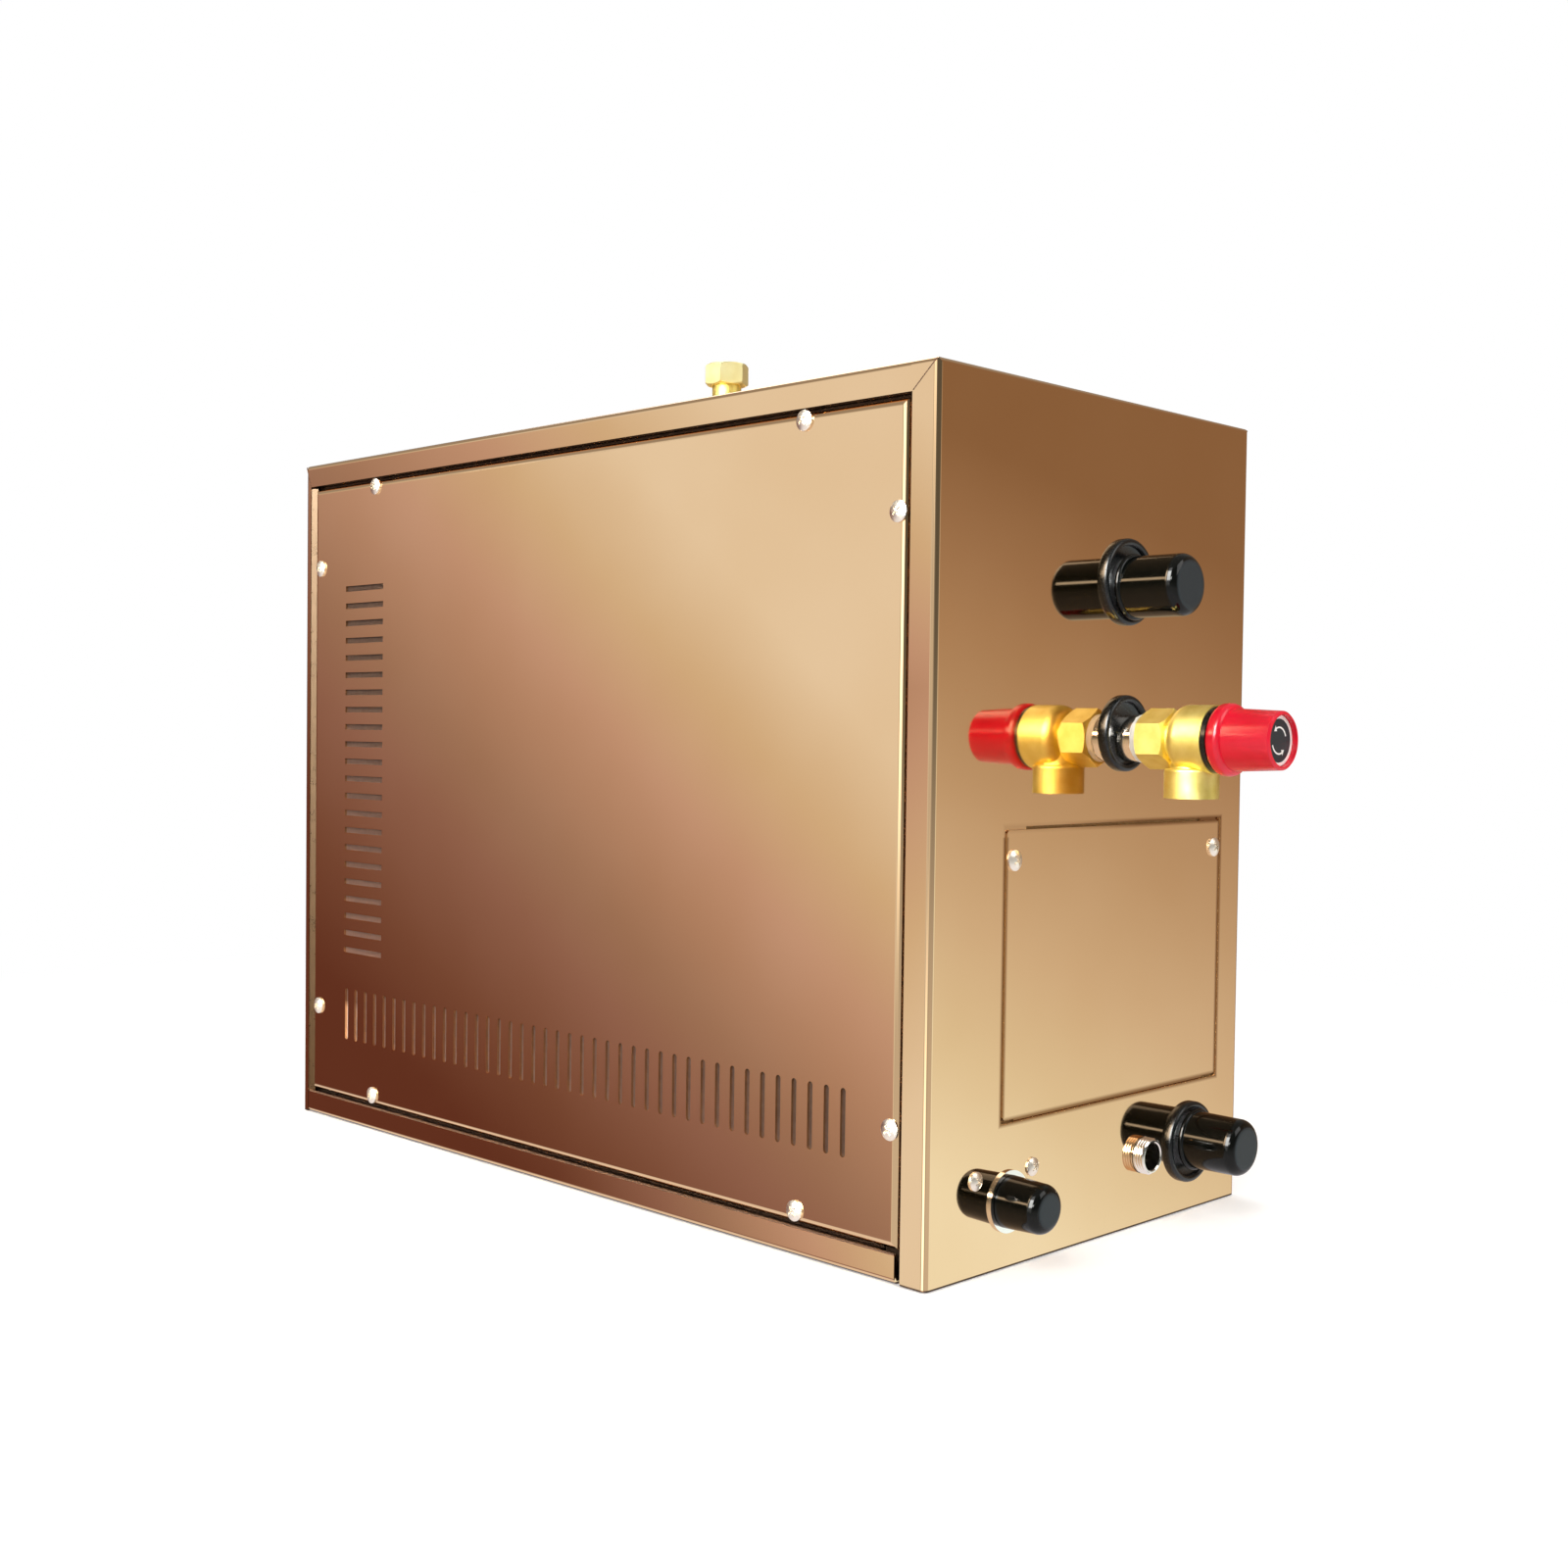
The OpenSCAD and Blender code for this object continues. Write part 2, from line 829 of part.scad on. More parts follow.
// Solid of a shallow folded pan: its face is at y, its folded edges run inward
module pan_form(x0, x1, z0, z1, y, depth, r) {
    w = x1 - x0;
    h = z1 - z0;
    intersection() {
        translate([x0 + w / 2, y + depth, z0]) linear_extrude(h) round_rect(w, 2 * depth, r);
        sweep_x(x0, x1) translate([y + depth, z0 + h / 2]) round_rect(2 * depth, h, r);
        block([x0, y, z0], [x1, y + depth, z1]);
    }
}

module panel_pan() {
    difference() {
        pan_form(panel_x0, panel_x1, panel_z0, panel_z1, -half_d, step_d, panel_r);
        pan_form(panel_x0 + sheet_t, panel_x1 - sheet_t, panel_z0 + sheet_t, panel_z1 - sheet_t,
                 -half_d + sheet_t, step_d, panel_r - sheet_t);
        side_screw_holes(screw_r + screw_clear);
    }
}

module flat_slot() {
    square([column_slot_l, column_slot_h], center = true);
}

module upright_slot() {
    straight = row_slot_h - row_slot_w;
    square([row_slot_w, straight], center = true);
    for (s = [-1, 1]) translate([0, s * straight / 2]) circle(r = row_slot_w / 2);
}

module vents() {
    for (i = [0 : column_n - 1])
        translate([column_x, column_z + i * column_pitch]) flat_slot();
    for (i = [0 : row_n - 1])
        translate([(i - (row_n - 1) / 2) * row_pitch, row_z]) upright_slot();
}

module side_panel() {
    color("burlywood") difference() {
        panel_pan();
        sweep_y(-half_d - over, -half_d + sheet_t + over) vents();
    }
}

module back_panel() {
    color("burlywood") mirror([0, 1, 0]) panel_pan();
}

module access_cover() {
    tongue_half = cover_w / 2 - tongue_in;
    behind = end_in_x - tongue_gap;
    color("burlywood") difference() {
        union() {
            translate([end_in_x, cover_y, (cover_z0 + cover_z1) / 2])
                rotate([90, 0, 90]) linear_extrude(sheet_t)
                    round_rect(cover_w, cover_z1 - cover_z0, cover_r);
            block([behind - sheet_t, cover_y - tongue_half, cover_z0],
                  [end_in_x + sheet_t / 2, cover_y + tongue_half, cover_z0 + joggle_h]);
            block([behind - sheet_t, cover_y - tongue_half, cover_z0 - tongue_h],
                  [behind, cover_y + tongue_half, cover_z0 + joggle_h]);
        }
        cover_screw_places() translate([0, 0, -sheet_t - over])
            cylinder(r = screw_r + screw_clear, h = sheet_t + 2 * over);
    }
}

// Screws

// Cross-recess pan head on a shank, the head standing on z = 0
module pan_screw(head_r, head_h, shank_r, shank_l, share, turn) {
    difference() {
        union() {
            intersection() {
                cylinder(r = head_r, h = head_h);
                translate([0, 0, head_h - dome_r * share]) sphere(r = dome_r * share);
            }
            translate([0, 0, -shank_l]) cylinder(r = shank_r, h = shank_l);
        }
        for (a = [0, 90]) rotate([0, 0, turn + a])
            translate([-recess_l * share / 2, -recess_w * share / 2, head_h - recess_d * share])
                cube([recess_l * share, recess_w * share, recess_d * share + over]);
    }
}

module casing_screw(turn) {
    pan_screw(screw_head_r, screw_head_h, screw_r, screw_l, 1, turn);
}

module casing_screws() {
    color("gainsboro") {
        both_long_sides() side_screw_places() rotate([90, 0, 0]) casing_screw(screw_turn);
        cover_screw_places() casing_screw(screw_turn);
    }
}

module clamp_screws() {
    color("gainsboro") clamp_screw_places()
        pan_screw(clamp_head_r, clamp_head_h, clamp_screw_r, clamp_screw_l, clamp_recess_share, screw_turn);
}

// Rubber grommet: a front ring, a neck in the sheet and a back ring, with its bore set off by (dy, dz)
module grommet(y, z, ring_r, bore_y, bore_z, bore_r) {
    difference() {
        at_end(y, z, 0) union() {
            rotate_extrude() {
                square([ring_r - ring_round, ring_t]);
                square([ring_r, ring_t - ring_round]);
                translate([ring_r - ring_round, ring_t - ring_round]) circle(r = ring_round);
            }
            translate([0, 0, -sheet_t - over / 2])
                cylinder(r = ring_r - ring_groove - fit, h = sheet_t + over);
            translate([0, 0, -sheet_t - ring_back_t]) cylinder(r = ring_r - ring_back_less, h = ring_back_t);
        }
        at_end(bore_y, bore_z, -sheet_t - ring_back_t - over)
            cylinder(r = bore_r, h = ring_t + ring_back_t + sheet_t + 2 * over);
    }
}

// Push-on vinyl cap along +Z: open foot at zero, round end, optional rolled rim
module vinyl_cap(bore_r, foot_r, end_r, len, rim) {
    difference() {
        rotate_extrude() difference() {
            union() {
                polygon([[0, 0], [foot_r, 0], [end_r, len - cap_round], [0, len - cap_round]]);
                translate([0, len - cap_round - over]) square([end_r - cap_round, cap_round + over]);
                translate([end_r - cap_round, len - cap_round]) circle(r = cap_round);
                if (rim) translate([foot_r - rim_out, rim_r]) circle(r = rim_r);
            }
            translate([-end_r, -len]) square([end_r, 3 * len]);
        }
        translate([0, 0, -over]) cylinder(r = bore_r, h = len - cap_end_wall + over);
    }
}

// Steam outlet

module steam_grommet() {
    color("darkslategray")
        grommet(outlet_y, steam_z + steam_ring_up, steam_ring_r, outlet_y, steam_z, steam_r + fit);
}

module steam_pipe() {
    len = tank_room + pipe_dip + steam_cap_l - cap_end_wall - pass;
    color("silver") at_end(outlet_y, steam_z, -tank_room - pipe_dip) tube(steam_r, steam_r - steam_wall, len);
}

module steam_cap() {
    foot = ring_t + pass;
    r = steam_r + run;
    color("black") at_end(outlet_y, steam_z, foot)
        vinyl_cap(r, r + cap_wall, r + cap_wall, steam_cap_l - foot, true);
}

// Relief valve

module valve_grommet() {
    color("darkslategray")
        grommet(outlet_y, relief_z + relief_ring_up, relief_ring_r, outlet_y, relief_z,
                relief_r + fit);
}

module relief_pipe() {
    len = tank_room + pipe_dip + relief_standoff + socket_l - fit;
    color("silver") at_end(outlet_y, relief_z, -tank_room - pipe_dip)
        tube(relief_r, relief_r - relief_wall, len);
}

module seal_tape() {
    color("white") at_end(outlet_y, relief_z, relief_standoff - tape_l - fit)
        tube(relief_r + fit + tape_t, relief_r + fit, tape_l);
}

module relief_body() {
    side_z = relief_z - side_reach;
    color("gold") difference() {
        union() {
            at_end(outlet_y, relief_z, hex_e0) hex_bar(relief_hex, relief_hex_l);
            at_end(outlet_y, relief_z, hex_e1 - over / 2) cylinder(r = neck_r, h = bell_e0 - hex_e1 + over);
            at_end(outlet_y, relief_z, bell_e0) rotate_extrude() {
                square([bell_r - bell_shoulder, bell_l]);
                translate([0, bell_shoulder]) square([bell_r, bell_l - bell_shoulder]);
                translate([bell_r - bell_shoulder, bell_shoulder]) circle(r = bell_shoulder);
            }
            translate([end_x + side_e, outlet_y, side_z])
                cylinder(r1 = side_stub_r + side_foot_more, r2 = side_stub_r, h = side_reach);
            translate([end_x + side_e, outlet_y, side_z]) rotate_extrude() {
                square([side_collar_r - side_collar_round, side_collar_h]);
                square([side_collar_r, side_collar_h - side_collar_round]);
                translate([side_collar_r - side_collar_round, side_collar_h - side_collar_round])
                    circle(r = side_collar_round);
            }
        }
        at_end(outlet_y, relief_z, hex_e0 - over) cylinder(r = relief_r + fit, h = socket_l + over);
        at_end(outlet_y, relief_z, hex_e0) cylinder(r = seat_r, h = seat_e - hex_e0 + over);
        at_end(outlet_y, relief_z, seat_e) cylinder(r = chamber_r, h = bell_face - seat_e + over);
        at_end(outlet_y, relief_z, bell_face - bonnet_sink)
            cylinder(r = bonnet_r + fit, h = bonnet_sink + over);
        translate([end_x + side_e, outlet_y, side_z - over])
            cylinder(r = side_bore_r, h = side_collar_h + over);
        translate([end_x + side_e, outlet_y, side_z]) cylinder(r = side_port_r, h = side_reach);
    }
}

stem_seal_e = seat_e + run;
holder_e = stem_seal_e + seal_t;
stem_head_e = red_e1 - red_recess_d + run;

module relief_stem() {
    color("silver") {
        at_end(outlet_y, relief_z, stem_seal_e) cylinder(r = seal_r, h = seal_t);
        at_end(outlet_y, relief_z, holder_e) cylinder(r = seal_r - fit, h = holder_t);
        at_end(outlet_y, relief_z, holder_e) cylinder(r = stem_r, h = stem_head_e + stem_head_t - holder_e);
        at_end(outlet_y, relief_z, stem_head_e) cylinder(r = stem_head_r, h = stem_head_t);
    }
}

module relief_spring() {
    from = holder_e + holder_t + relief_lift + spring_room;
    color("silver") at_end(outlet_y, relief_z, from)
        helix(spring_coil_r, spring_wire, spring_turns, bell_face - bonnet_sink - from);
}

module relief_bonnet() {
    color("darkgoldenrod") difference() {
        union() {
            at_end(outlet_y, relief_z, bell_face - bonnet_sink) cylinder(r = bonnet_r, h = bonnet_sink);
            at_end(outlet_y, relief_z, bell_face - bonnet_sink) cylinder(r = hub_r, h = bonnet_sink + hub_l);
        }
        at_end(outlet_y, relief_z, bell_face - bonnet_sink - over)
            cylinder(r = stem_r + run, h = bonnet_sink + hub_l + 2 * over);
    }
}

module relief_gasket() {
    color("black") at_end(outlet_y, relief_z, bell_face) tube(gasket_r, hub_r + fit, gasket_t);
}

module relief_cap() {
    color("crimson") difference() {
        at_end(outlet_y, relief_z, red_e0) rotate_extrude() {
            square([cap_flange_r - red_flange_round, red_flange_l]);
            translate([0, red_flange_round])
                square([cap_flange_r, red_flange_l - 2 * red_flange_round]);
            for (z = [red_flange_round, red_flange_l - red_flange_round])
                translate([cap_flange_r - red_flange_round, z]) circle(r = red_flange_round);
            polygon([
                [0, red_flange_round], [red_body_r, red_flange_round],
                [red_body_r, red_flange_l - red_flange_round], [red_end_r, red_cap_l - red_end_bevel],
                [red_end_r - red_end_bevel, red_cap_l], [0, red_cap_l]
            ]);
        }
        at_end(outlet_y, relief_z, red_e0 - over)
            cylinder(r = red_bore_r, h = red_cap_l - red_end_wall + over);
        at_end(outlet_y, relief_z, red_e0) cylinder(r = stem_r + run, h = red_cap_l);
        at_end(outlet_y, relief_z, red_e1 - red_recess_d)
            cylinder(r = red_recess_r + fit, h = red_recess_d + over);
    }
}

module relief_cap_disc() {
    color("black") at_end(outlet_y, relief_z, red_e1 - disc_sink - disc_t)
        cylinder(r = red_recess_r, h = disc_t);
}

// Cable entry

module cable_conduit() {
    color("silver") {
        difference() {
            union() {
                at_end(conduit_y, conduit_z, -conduit_in)
                    cylinder(r = conduit_r, h = conduit_in + conduit_out);
                at_end(conduit_y, conduit_z, 0) cylinder(r = conduit_collar_r, h = conduit_collar_t);
            }
            at_end(conduit_y, conduit_z, -conduit_in - over)
                cylinder(r = conduit_r - conduit_wall, h = conduit_in + conduit_out + 2 * over);
        }
    }
}

module conduit_cap() {
    foot = conduit_collar_t + pass;
    r = conduit_r + run;
    color("black") at_end(conduit_y, conduit_z, foot)
        vinyl_cap(r, r + conduit_cap_wall, r + conduit_cap_wall - conduit_cap_taper, conduit_cap_l - foot, false);
}

module lock_nut(y, z, r, af) {
    at_end(y, z, -sheet_t - nut_t) difference() {
        hex_bar(af, nut_t);
        translate([0, 0, -over]) cylinder(r = r + fit, h = nut_t + 2 * over);
    }
}

module lock_nuts() {
    color("silver") {
        lock_nut(conduit_y, conduit_z, conduit_r, conduit_nut_af);
        lock_nut(inlet_y, inlet_z, nipple_shank_r, nipple_nut_af);
    }
}

// Bracket behind the cable entry, bent from one strip, that holds the cable's sheath
module cable_clamp() {
    lug0 = clamp_y0 - clamp_lug;
    leg0 = clamp_y0 + clamp_lug_in + clamp_t;
    leg1 = clamp_y1 - clamp_lug_in - clamp_t;
    lug1 = clamp_y1 + clamp_lug;
    far = end_in_x - clamp_deep;
    color("silver") difference() {
        translate([0, 0, clamp_z - clamp_half_h]) linear_extrude(2 * clamp_half_h) polygon([
            [end_in_x, lug0], [end_in_x, leg0], [far + clamp_t, leg0], [far + clamp_t, leg1],
            [end_in_x, leg1], [end_in_x, lug1], [end_in_x - clamp_t, lug1], [end_in_x - clamp_t, leg1 + clamp_t],
            [far, leg1 + clamp_t], [far, leg0 - clamp_t], [end_in_x - clamp_t, leg0 - clamp_t],
            [end_in_x - clamp_t, lug0]
        ]);
        clamp_screw_places() translate([0, 0, -sheet_t - clamp_t - over])
            cylinder(r = clamp_screw_r + fit, h = clamp_t + over);
        at_end(conduit_y, conduit_z, -clamp_deep - sheet_t - over)
            cylinder(r = conduit_r - conduit_wall, h = clamp_t + 2 * over);
    }
}

// Water inlet and drain, each behind a solenoid valve

valve_x1 = end_x - valve_in;
valve_x0 = valve_x1 - valve_l;
valve_x = valve_x1 - valve_l / 2;
coil_up = valve_r + gallery_h / 2;

module valve_body(y, z, bore_in_r, bore_in_l) {
    weir_x = valve_x + seat_hole_r + seat_land;
    difference() {
        union() {
            translate([valve_x0, y, z]) along_x() cylinder(r = valve_r, h = valve_l);
            translate([valve_x, y, z]) cylinder(r = valve_neck_r, h = coil_up);
            translate([valve_x, y, z + coil_up]) cylinder(r = tube_r, h = coil_h + tube_up);
        }
        translate([valve_x1 - bore_in_l, y, z]) along_x() cylinder(r = bore_in_r + fit, h = bore_in_l + over);
        translate([weir_x + weir_t, y, z]) along_x() cylinder(r = valve_bore_r, h = valve_x1 - weir_x);
        translate([valve_x0 - over, y, z]) along_x() cylinder(r = valve_bore_r, h = weir_x - valve_x0 + over);
        translate([valve_x, y, z]) cylinder(r = seat_hole_r, h = gallery_up + over / 2);
        translate([valve_x, y, z + gallery_up]) cylinder(r = gallery_r, h = gallery_h);
        translate([valve_x + port_off, y, z]) cylinder(r = valve_port_r, h = gallery_up + over / 2);
        translate([valve_x, y, z + gallery_up])
            cylinder(r = tube_bore_r + run, h = coil_up + coil_h + tube_up - gallery_up - tube_cap);
    }
}

module valve_coil(y, z) {
    translate([valve_x, y, z + coil_up]) {
        difference() {
            translate([-coil_w / 2, -coil_w / 2, 0]) cube([coil_w, coil_w, coil_h]);
            translate([0, 0, -over]) cylinder(r = tube_r + fit, h = coil_h + 2 * over);
        }
        translate([0, 0, coil_h]) difference() {
            hex_bar(2 * coil_nut_r, coil_nut_t);
            translate([0, 0, -over]) cylinder(r = tube_r + fit, h = coil_nut_t + 2 * over);
        }
        for (s = [-1, 1])
            translate([-coil_w / 2 - spade_l, s * spade_w - spade_w / 2, coil_h / 2])
                cube([spade_l + over, spade_w, spade_t]);
    }
}

module valve_plunger(y, z) {
    translate([valve_x, y, z + gallery_up + run]) cylinder(r = tube_bore_r, h = plunger_l);
}

module valve_spring(y, z) {
    foot = gallery_up + run + plunger_l;
    top = coil_up + coil_h + tube_up - tube_cap;
    translate([valve_x, y, z + foot])
        helix(valve_spring_r, valve_spring_wire, valve_spring_turns, top - foot);
}

// Pipe that runs back from a valve and turns up into the tank
module elbow_pipe(x_from, x_up, y, z, z_top, r, wall) {
    difference() {
        elbow_form(x_from, x_up, y, z, z_top, r, 0);
        elbow_form(x_from, x_up, y, z, z_top, r - wall, over);
    }
}

module elbow_form(x_from, x_up, y, z, z_top, r, extra) {
    bend_x = x_up + elbow_r;
    bend_z = z + elbow_r;
    translate([bend_x, y, z]) along_x() cylinder(r = r, h = x_from - bend_x + extra);
    translate([x_up, y, bend_z]) cylinder(r = r, h = z_top - bend_z + extra);
    translate([bend_x, y, bend_z]) rotate([90, 0, 0]) rotate([0, 0, 180])
        rotate_extrude(angle = 90) translate([elbow_r, 0]) circle(r = r);
}

module inlet_nipple() {
    color("silver") difference() {
        union() {
            at_end(inlet_y, inlet_z, -valve_in - socket_l)
                cylinder(r = nipple_shank_r, h = valve_in + socket_l + nipple_l);
            at_end(inlet_y, inlet_z, nipple_relief) cylinder(r = nipple_r, h = nipple_l - nipple_relief);
        }
        at_end(inlet_y, inlet_z, -valve_in - socket_l - over)
            cylinder(r = nipple_bore_r, h = valve_in + socket_l + nipple_l + 2 * over);
    }
}

module inlet_valve_body() {
    color("darkgoldenrod") valve_body(inlet_y, inlet_z, nipple_shank_r, socket_l);
}

module inlet_coil() {
    color("dimgray") valve_coil(inlet_y, inlet_z);
}

module inlet_plunger() {
    color("silver") valve_plunger(inlet_y, inlet_z);
}

module inlet_spring() {
    color("silver") valve_spring(inlet_y, inlet_z);
}

module feed_pipe() {
    color("silver")
        elbow_pipe(valve_x0, feed_up_x, inlet_y, inlet_z, tank_z + drain_dip, feed_r, feed_wall);
}

module drain_grommet() {
    color("darkslategray")
        grommet(drain_y, drain_z - drain_ring_drop, drain_ring_r, drain_y, drain_z, drain_r + fit);
}

module drain_outlet() {
    color("silver") at_end(drain_y, drain_z, -valve_in)
        tube(drain_r, drain_r - drain_wall, valve_in + drain_cap_l - cap_end_wall - pass);
}

module drain_cap() {
    foot = ring_t + pass;
    r = drain_r + run;
    color("black") at_end(drain_y, drain_z, foot)
        vinyl_cap(r, r + cap_wall + rim_out / 2, r + cap_wall - rim_out, drain_cap_l - foot, true);
}

module drain_valve_body() {
    color("darkgoldenrod") valve_body(drain_y, drain_z, valve_bore_r, socket_l);
}

module drain_coil() {
    color("dimgray") valve_coil(drain_y, drain_z);
}

module drain_plunger() {
    color("silver") valve_plunger(drain_y, drain_z);
}

module drain_spring() {
    color("silver") valve_spring(drain_y, drain_z);
}

module drain_pipe() {
    color("silver")
        elbow_pipe(valve_x0, drain_up_x, drain_y, drain_z, tank_z + drain_dip, under_r, feed_wall);
}

// Filler on the top

module filler_stub() {
    foot = tank_z1 - pipe_dip;
    color("gold") translate([filler_x, filler_y, foot])
        tube(filler_r, filler_bore_r, case_h + filler_up - foot);
}

module top_plug() {
    color("gold") translate([filler_x, filler_y, case_h + filler_up]) {
        hex_bar(plug_hex, plug_h);
        translate([0, 0, -plug_h]) cylinder(r = filler_bore_r - fit, h = plug_h);
    }
}

// Tank

module tank_outline(grow) {
    round_rect(tank_d + 2 * grow, tank_h + 2 * grow, tank_r + grow);
}

module at_tank_middle() {
    translate([0, 0, tank_z + tank_h / 2]) children();
}

heater_z = tank_z + heater_up;

module tank() {
    color("lightsteelblue") difference() {
        union() {
            at_tank_middle() sweep_x(tank_x0, tank_x1) tank_outline(0);
            for (x = [tank_x0, tank_x1 - rim_t])
                at_tank_middle() sweep_x(x, x + rim_t) tank_outline(rim_w);
            translate([tank_x0 - boss_t, 0, heater_z]) along_x() cylinder(r = boss_r, h = boss_t);
        }
        at_tank_middle() sweep_x(tank_x0 + tank_wall, tank_x1 - tank_wall) tank_outline(-tank_wall);
        translate([tank_x0 - boss_t - over, 0, heater_z]) along_x()
            cylinder(r = boss_bore_r, h = boss_t + 2 * over);
        heater_bolt_places() cylinder(r = heat_bolt_r + fit, h = boss_t);
        at_end(outlet_y, steam_z, -tank_room - over) cylinder(r = steam_r + fit, h = 2 * over);
        at_end(outlet_y, relief_z, -tank_room - over) cylinder(r = relief_r + fit, h = 2 * over);
        translate([feed_up_x, inlet_y, tank_z - over]) cylinder(r = feed_r + fit, h = 2 * over);
        translate([drain_up_x, drain_y, tank_z - over]) cylinder(r = under_r + fit, h = tank_r);
        translate([filler_x, filler_y, tank_z1 - pipe_dip]) cylinder(r = filler_r + fit, h = pipe_dip + over);
        for (z = [level_z0 + link_in, level_z1 - link_in])
            translate([tank_x0 - over, level_y, z]) along_x() cylinder(r = link_r + fit, h = 2 * over);
    }
}

module insulation() {
    x0 = tank_x0 + rim_t + pass;
    x1 = tank_x1 - rim_t - pass;
    color("khaki") difference() {
        at_tank_middle() sweep_x(x0, x1) tank_outline(wool_t);
        at_tank_middle() sweep_x(x0 - over, x1 + over) tank_outline(pass);
        translate([feed_up_x, inlet_y, 0]) cylinder(r = feed_r + pass, h = tank_z);
        translate([drain_up_x, drain_y, 0]) cylinder(r = under_r + pass, h = tank_z + tank_r);
        translate([filler_x, filler_y, tank_z1 - tank_r])
            cylinder(r = filler_r + pass, h = wool_t + tank_r + over);
        for (x = [tank_x0 + stand_in_l, tank_x1 - stand_in_r])
            block([x - stand_slit, -stand_half - stand_slit, tank_z - wool_t - over],
                  [x + stand_t + stand_slit, stand_half + stand_slit, tank_z]);
    }
}

// Bent plate that carries the tank: a web under the tank and a foot on the base pan
module tank_stand(x, arched) {
    difference() {
        union() {
            block([x, -stand_half, sheet_t], [x + stand_t, stand_half, tank_z]);
            block([x - stand_foot, -stand_half, sheet_t], [x + stand_t, stand_half, sheet_t + stand_t]);
        }
        if (arched)
            block([x - stand_foot - over, arch_y0, sheet_t - over], [x + stand_t + over, stand_half + over, arch_h]);
    }
}

module tank_stands() {
    color("gray") {
        tank_stand(tank_x0 + stand_in_l, false);
        tank_stand(tank_x1 - stand_in_r, true);
    }
}

// Heater

module heater_bolt_places() {
    for (i = [0 : heat_bolt_n - 1])
        translate([tank_x0 - boss_t, 0, heater_z]) along_x()
            rotate([0, 0, 360 * i / heat_bolt_n]) translate([heat_bolt_ring, 0, 0]) children();
}

module heater_face(x, t) {
    difference() {
        translate([x, 0, heater_z]) along_x() cylinder(r = boss_r, h = t);
        heater_bolt_places() translate([0, 0, -heat_gasket_t - heat_flange_t - over])
            cylinder(r = heat_bolt_r + fit, h = heat_gasket_t + heat_flange_t + 2 * over);
        heater_legs() translate([0, 0, -boss_t - heat_flange_t - heat_gasket_t - over])
            cylinder(r = hairpin_r + fit, h = tank_l);
    }
}

// Places of the hairpins' legs, at the tank's end wall
module heater_legs() {
    for (y = [-pin_half, pin_half], i = [-1 : 1])
        translate([tank_x0, y, heater_z + i * pin_pitch]) along_x() children();
}

heat_face_x = tank_x0 - boss_t - heat_gasket_t - heat_flange_t;

module heater_flange() {
    color("silver") heater_face(heat_face_x, heat_flange_t);
}

module heater_gasket() {
    color("dimgray") heater_face(heat_face_x + heat_flange_t, heat_gasket_t);
}

module heater_bolts() {
    back = heat_gasket_t + heat_flange_t;
    color("silver") heater_bolt_places() {
        translate([0, 0, -back]) cylinder(r = heat_bolt_r, h = back + boss_t - fit);
        translate([0, 0, -back - heat_bolt_h]) hex_bar(heat_bolt_af, heat_bolt_h);
    }
}

// Three hairpin elements with their ceramic bushes and terminals
module heater_elements() {
    out = tank_x0 - heat_face_x + over;
    color("silver") {
        heater_legs() translate([0, 0, -out]) cylinder(r = hairpin_r, h = out + hairpin_l);
        heater_legs() translate([0, 0, -out - bush_l]) cylinder(r = bush_r, h = bush_l);
        heater_legs() translate([0, 0, -out - bush_l - terminal_l]) cylinder(r = terminal_r, h = terminal_l);
        for (i = [-1 : 1])
            translate([tank_x0 + hairpin_l, 0, heater_z + i * pin_pitch]) rotate([0, 0, -90])
                rotate_extrude(angle = 180) translate([pin_half, 0]) circle(r = hairpin_r);
    }
}

// Level chamber beside the tank, with its float on a rod

module level_chamber() {
    len = level_z1 - level_z0;
    color("silver") {
        difference() {
            union() {
                translate([level_x, level_y, level_z0]) cylinder(r = level_r, h = len);
                for (z = [level_z0 + link_in, level_z1 - link_in])
                    translate([level_x, level_y, z]) along_x()
                        cylinder(r = link_r, h = tank_x0 - level_x + tank_wall);
            }
            translate([level_x, level_y, level_z0 + level_lid_t])
                cylinder(r = level_r - level_wall, h = len - 2 * level_lid_t);
            for (z = [level_z0 + link_in, level_z1 - link_in])
                translate([level_x, level_y, z]) along_x()
                    cylinder(r = link_r - link_wall, h = tank_x0 - level_x + tank_wall + over);
        }
        translate([level_x, level_y, level_z0]) cylinder(r = rod_r, h = len);
        for (z = [float_z - stop_t - pass, float_z + float_l + float_rise + pass])
            translate([level_x, level_y, z]) cylinder(r = stop_r, h = stop_t);
    }
}

module level_float() {
    color("white") translate([level_x, level_y, float_z]) tube(float_r, rod_r + run, float_l);
}

// Partition, with the control board on its far side

module partition() {
    color("silver") difference() {
        union() {
            block([part_x, -part_half, sheet_t], [part_x + part_t, part_half, part_top]);
            block([part_x, -part_half, sheet_t], [part_x + part_foot, part_half, sheet_t + part_t]);
            board_posts() cylinder(r = post_r, h = board_off);
        }
        translate([part_x - over, 0, part_top - 3 * part_hole_r]) along_x()
            cylinder(r = part_hole_r, h = part_t + 2 * over);
    }
}

module board_posts() {
    for (y = [board_y0 + board_in, board_y1 - board_in], z = [board_z0 + board_in, board_z1 - board_in])
        translate([part_x - board_off, y, z]) along_x() children();
}

board_x = part_x - board_off - board_t;

module control_board() {
    color("darkgreen") block([board_x, board_y0, board_z0], [board_x + board_t, board_y1, board_z1]);
}

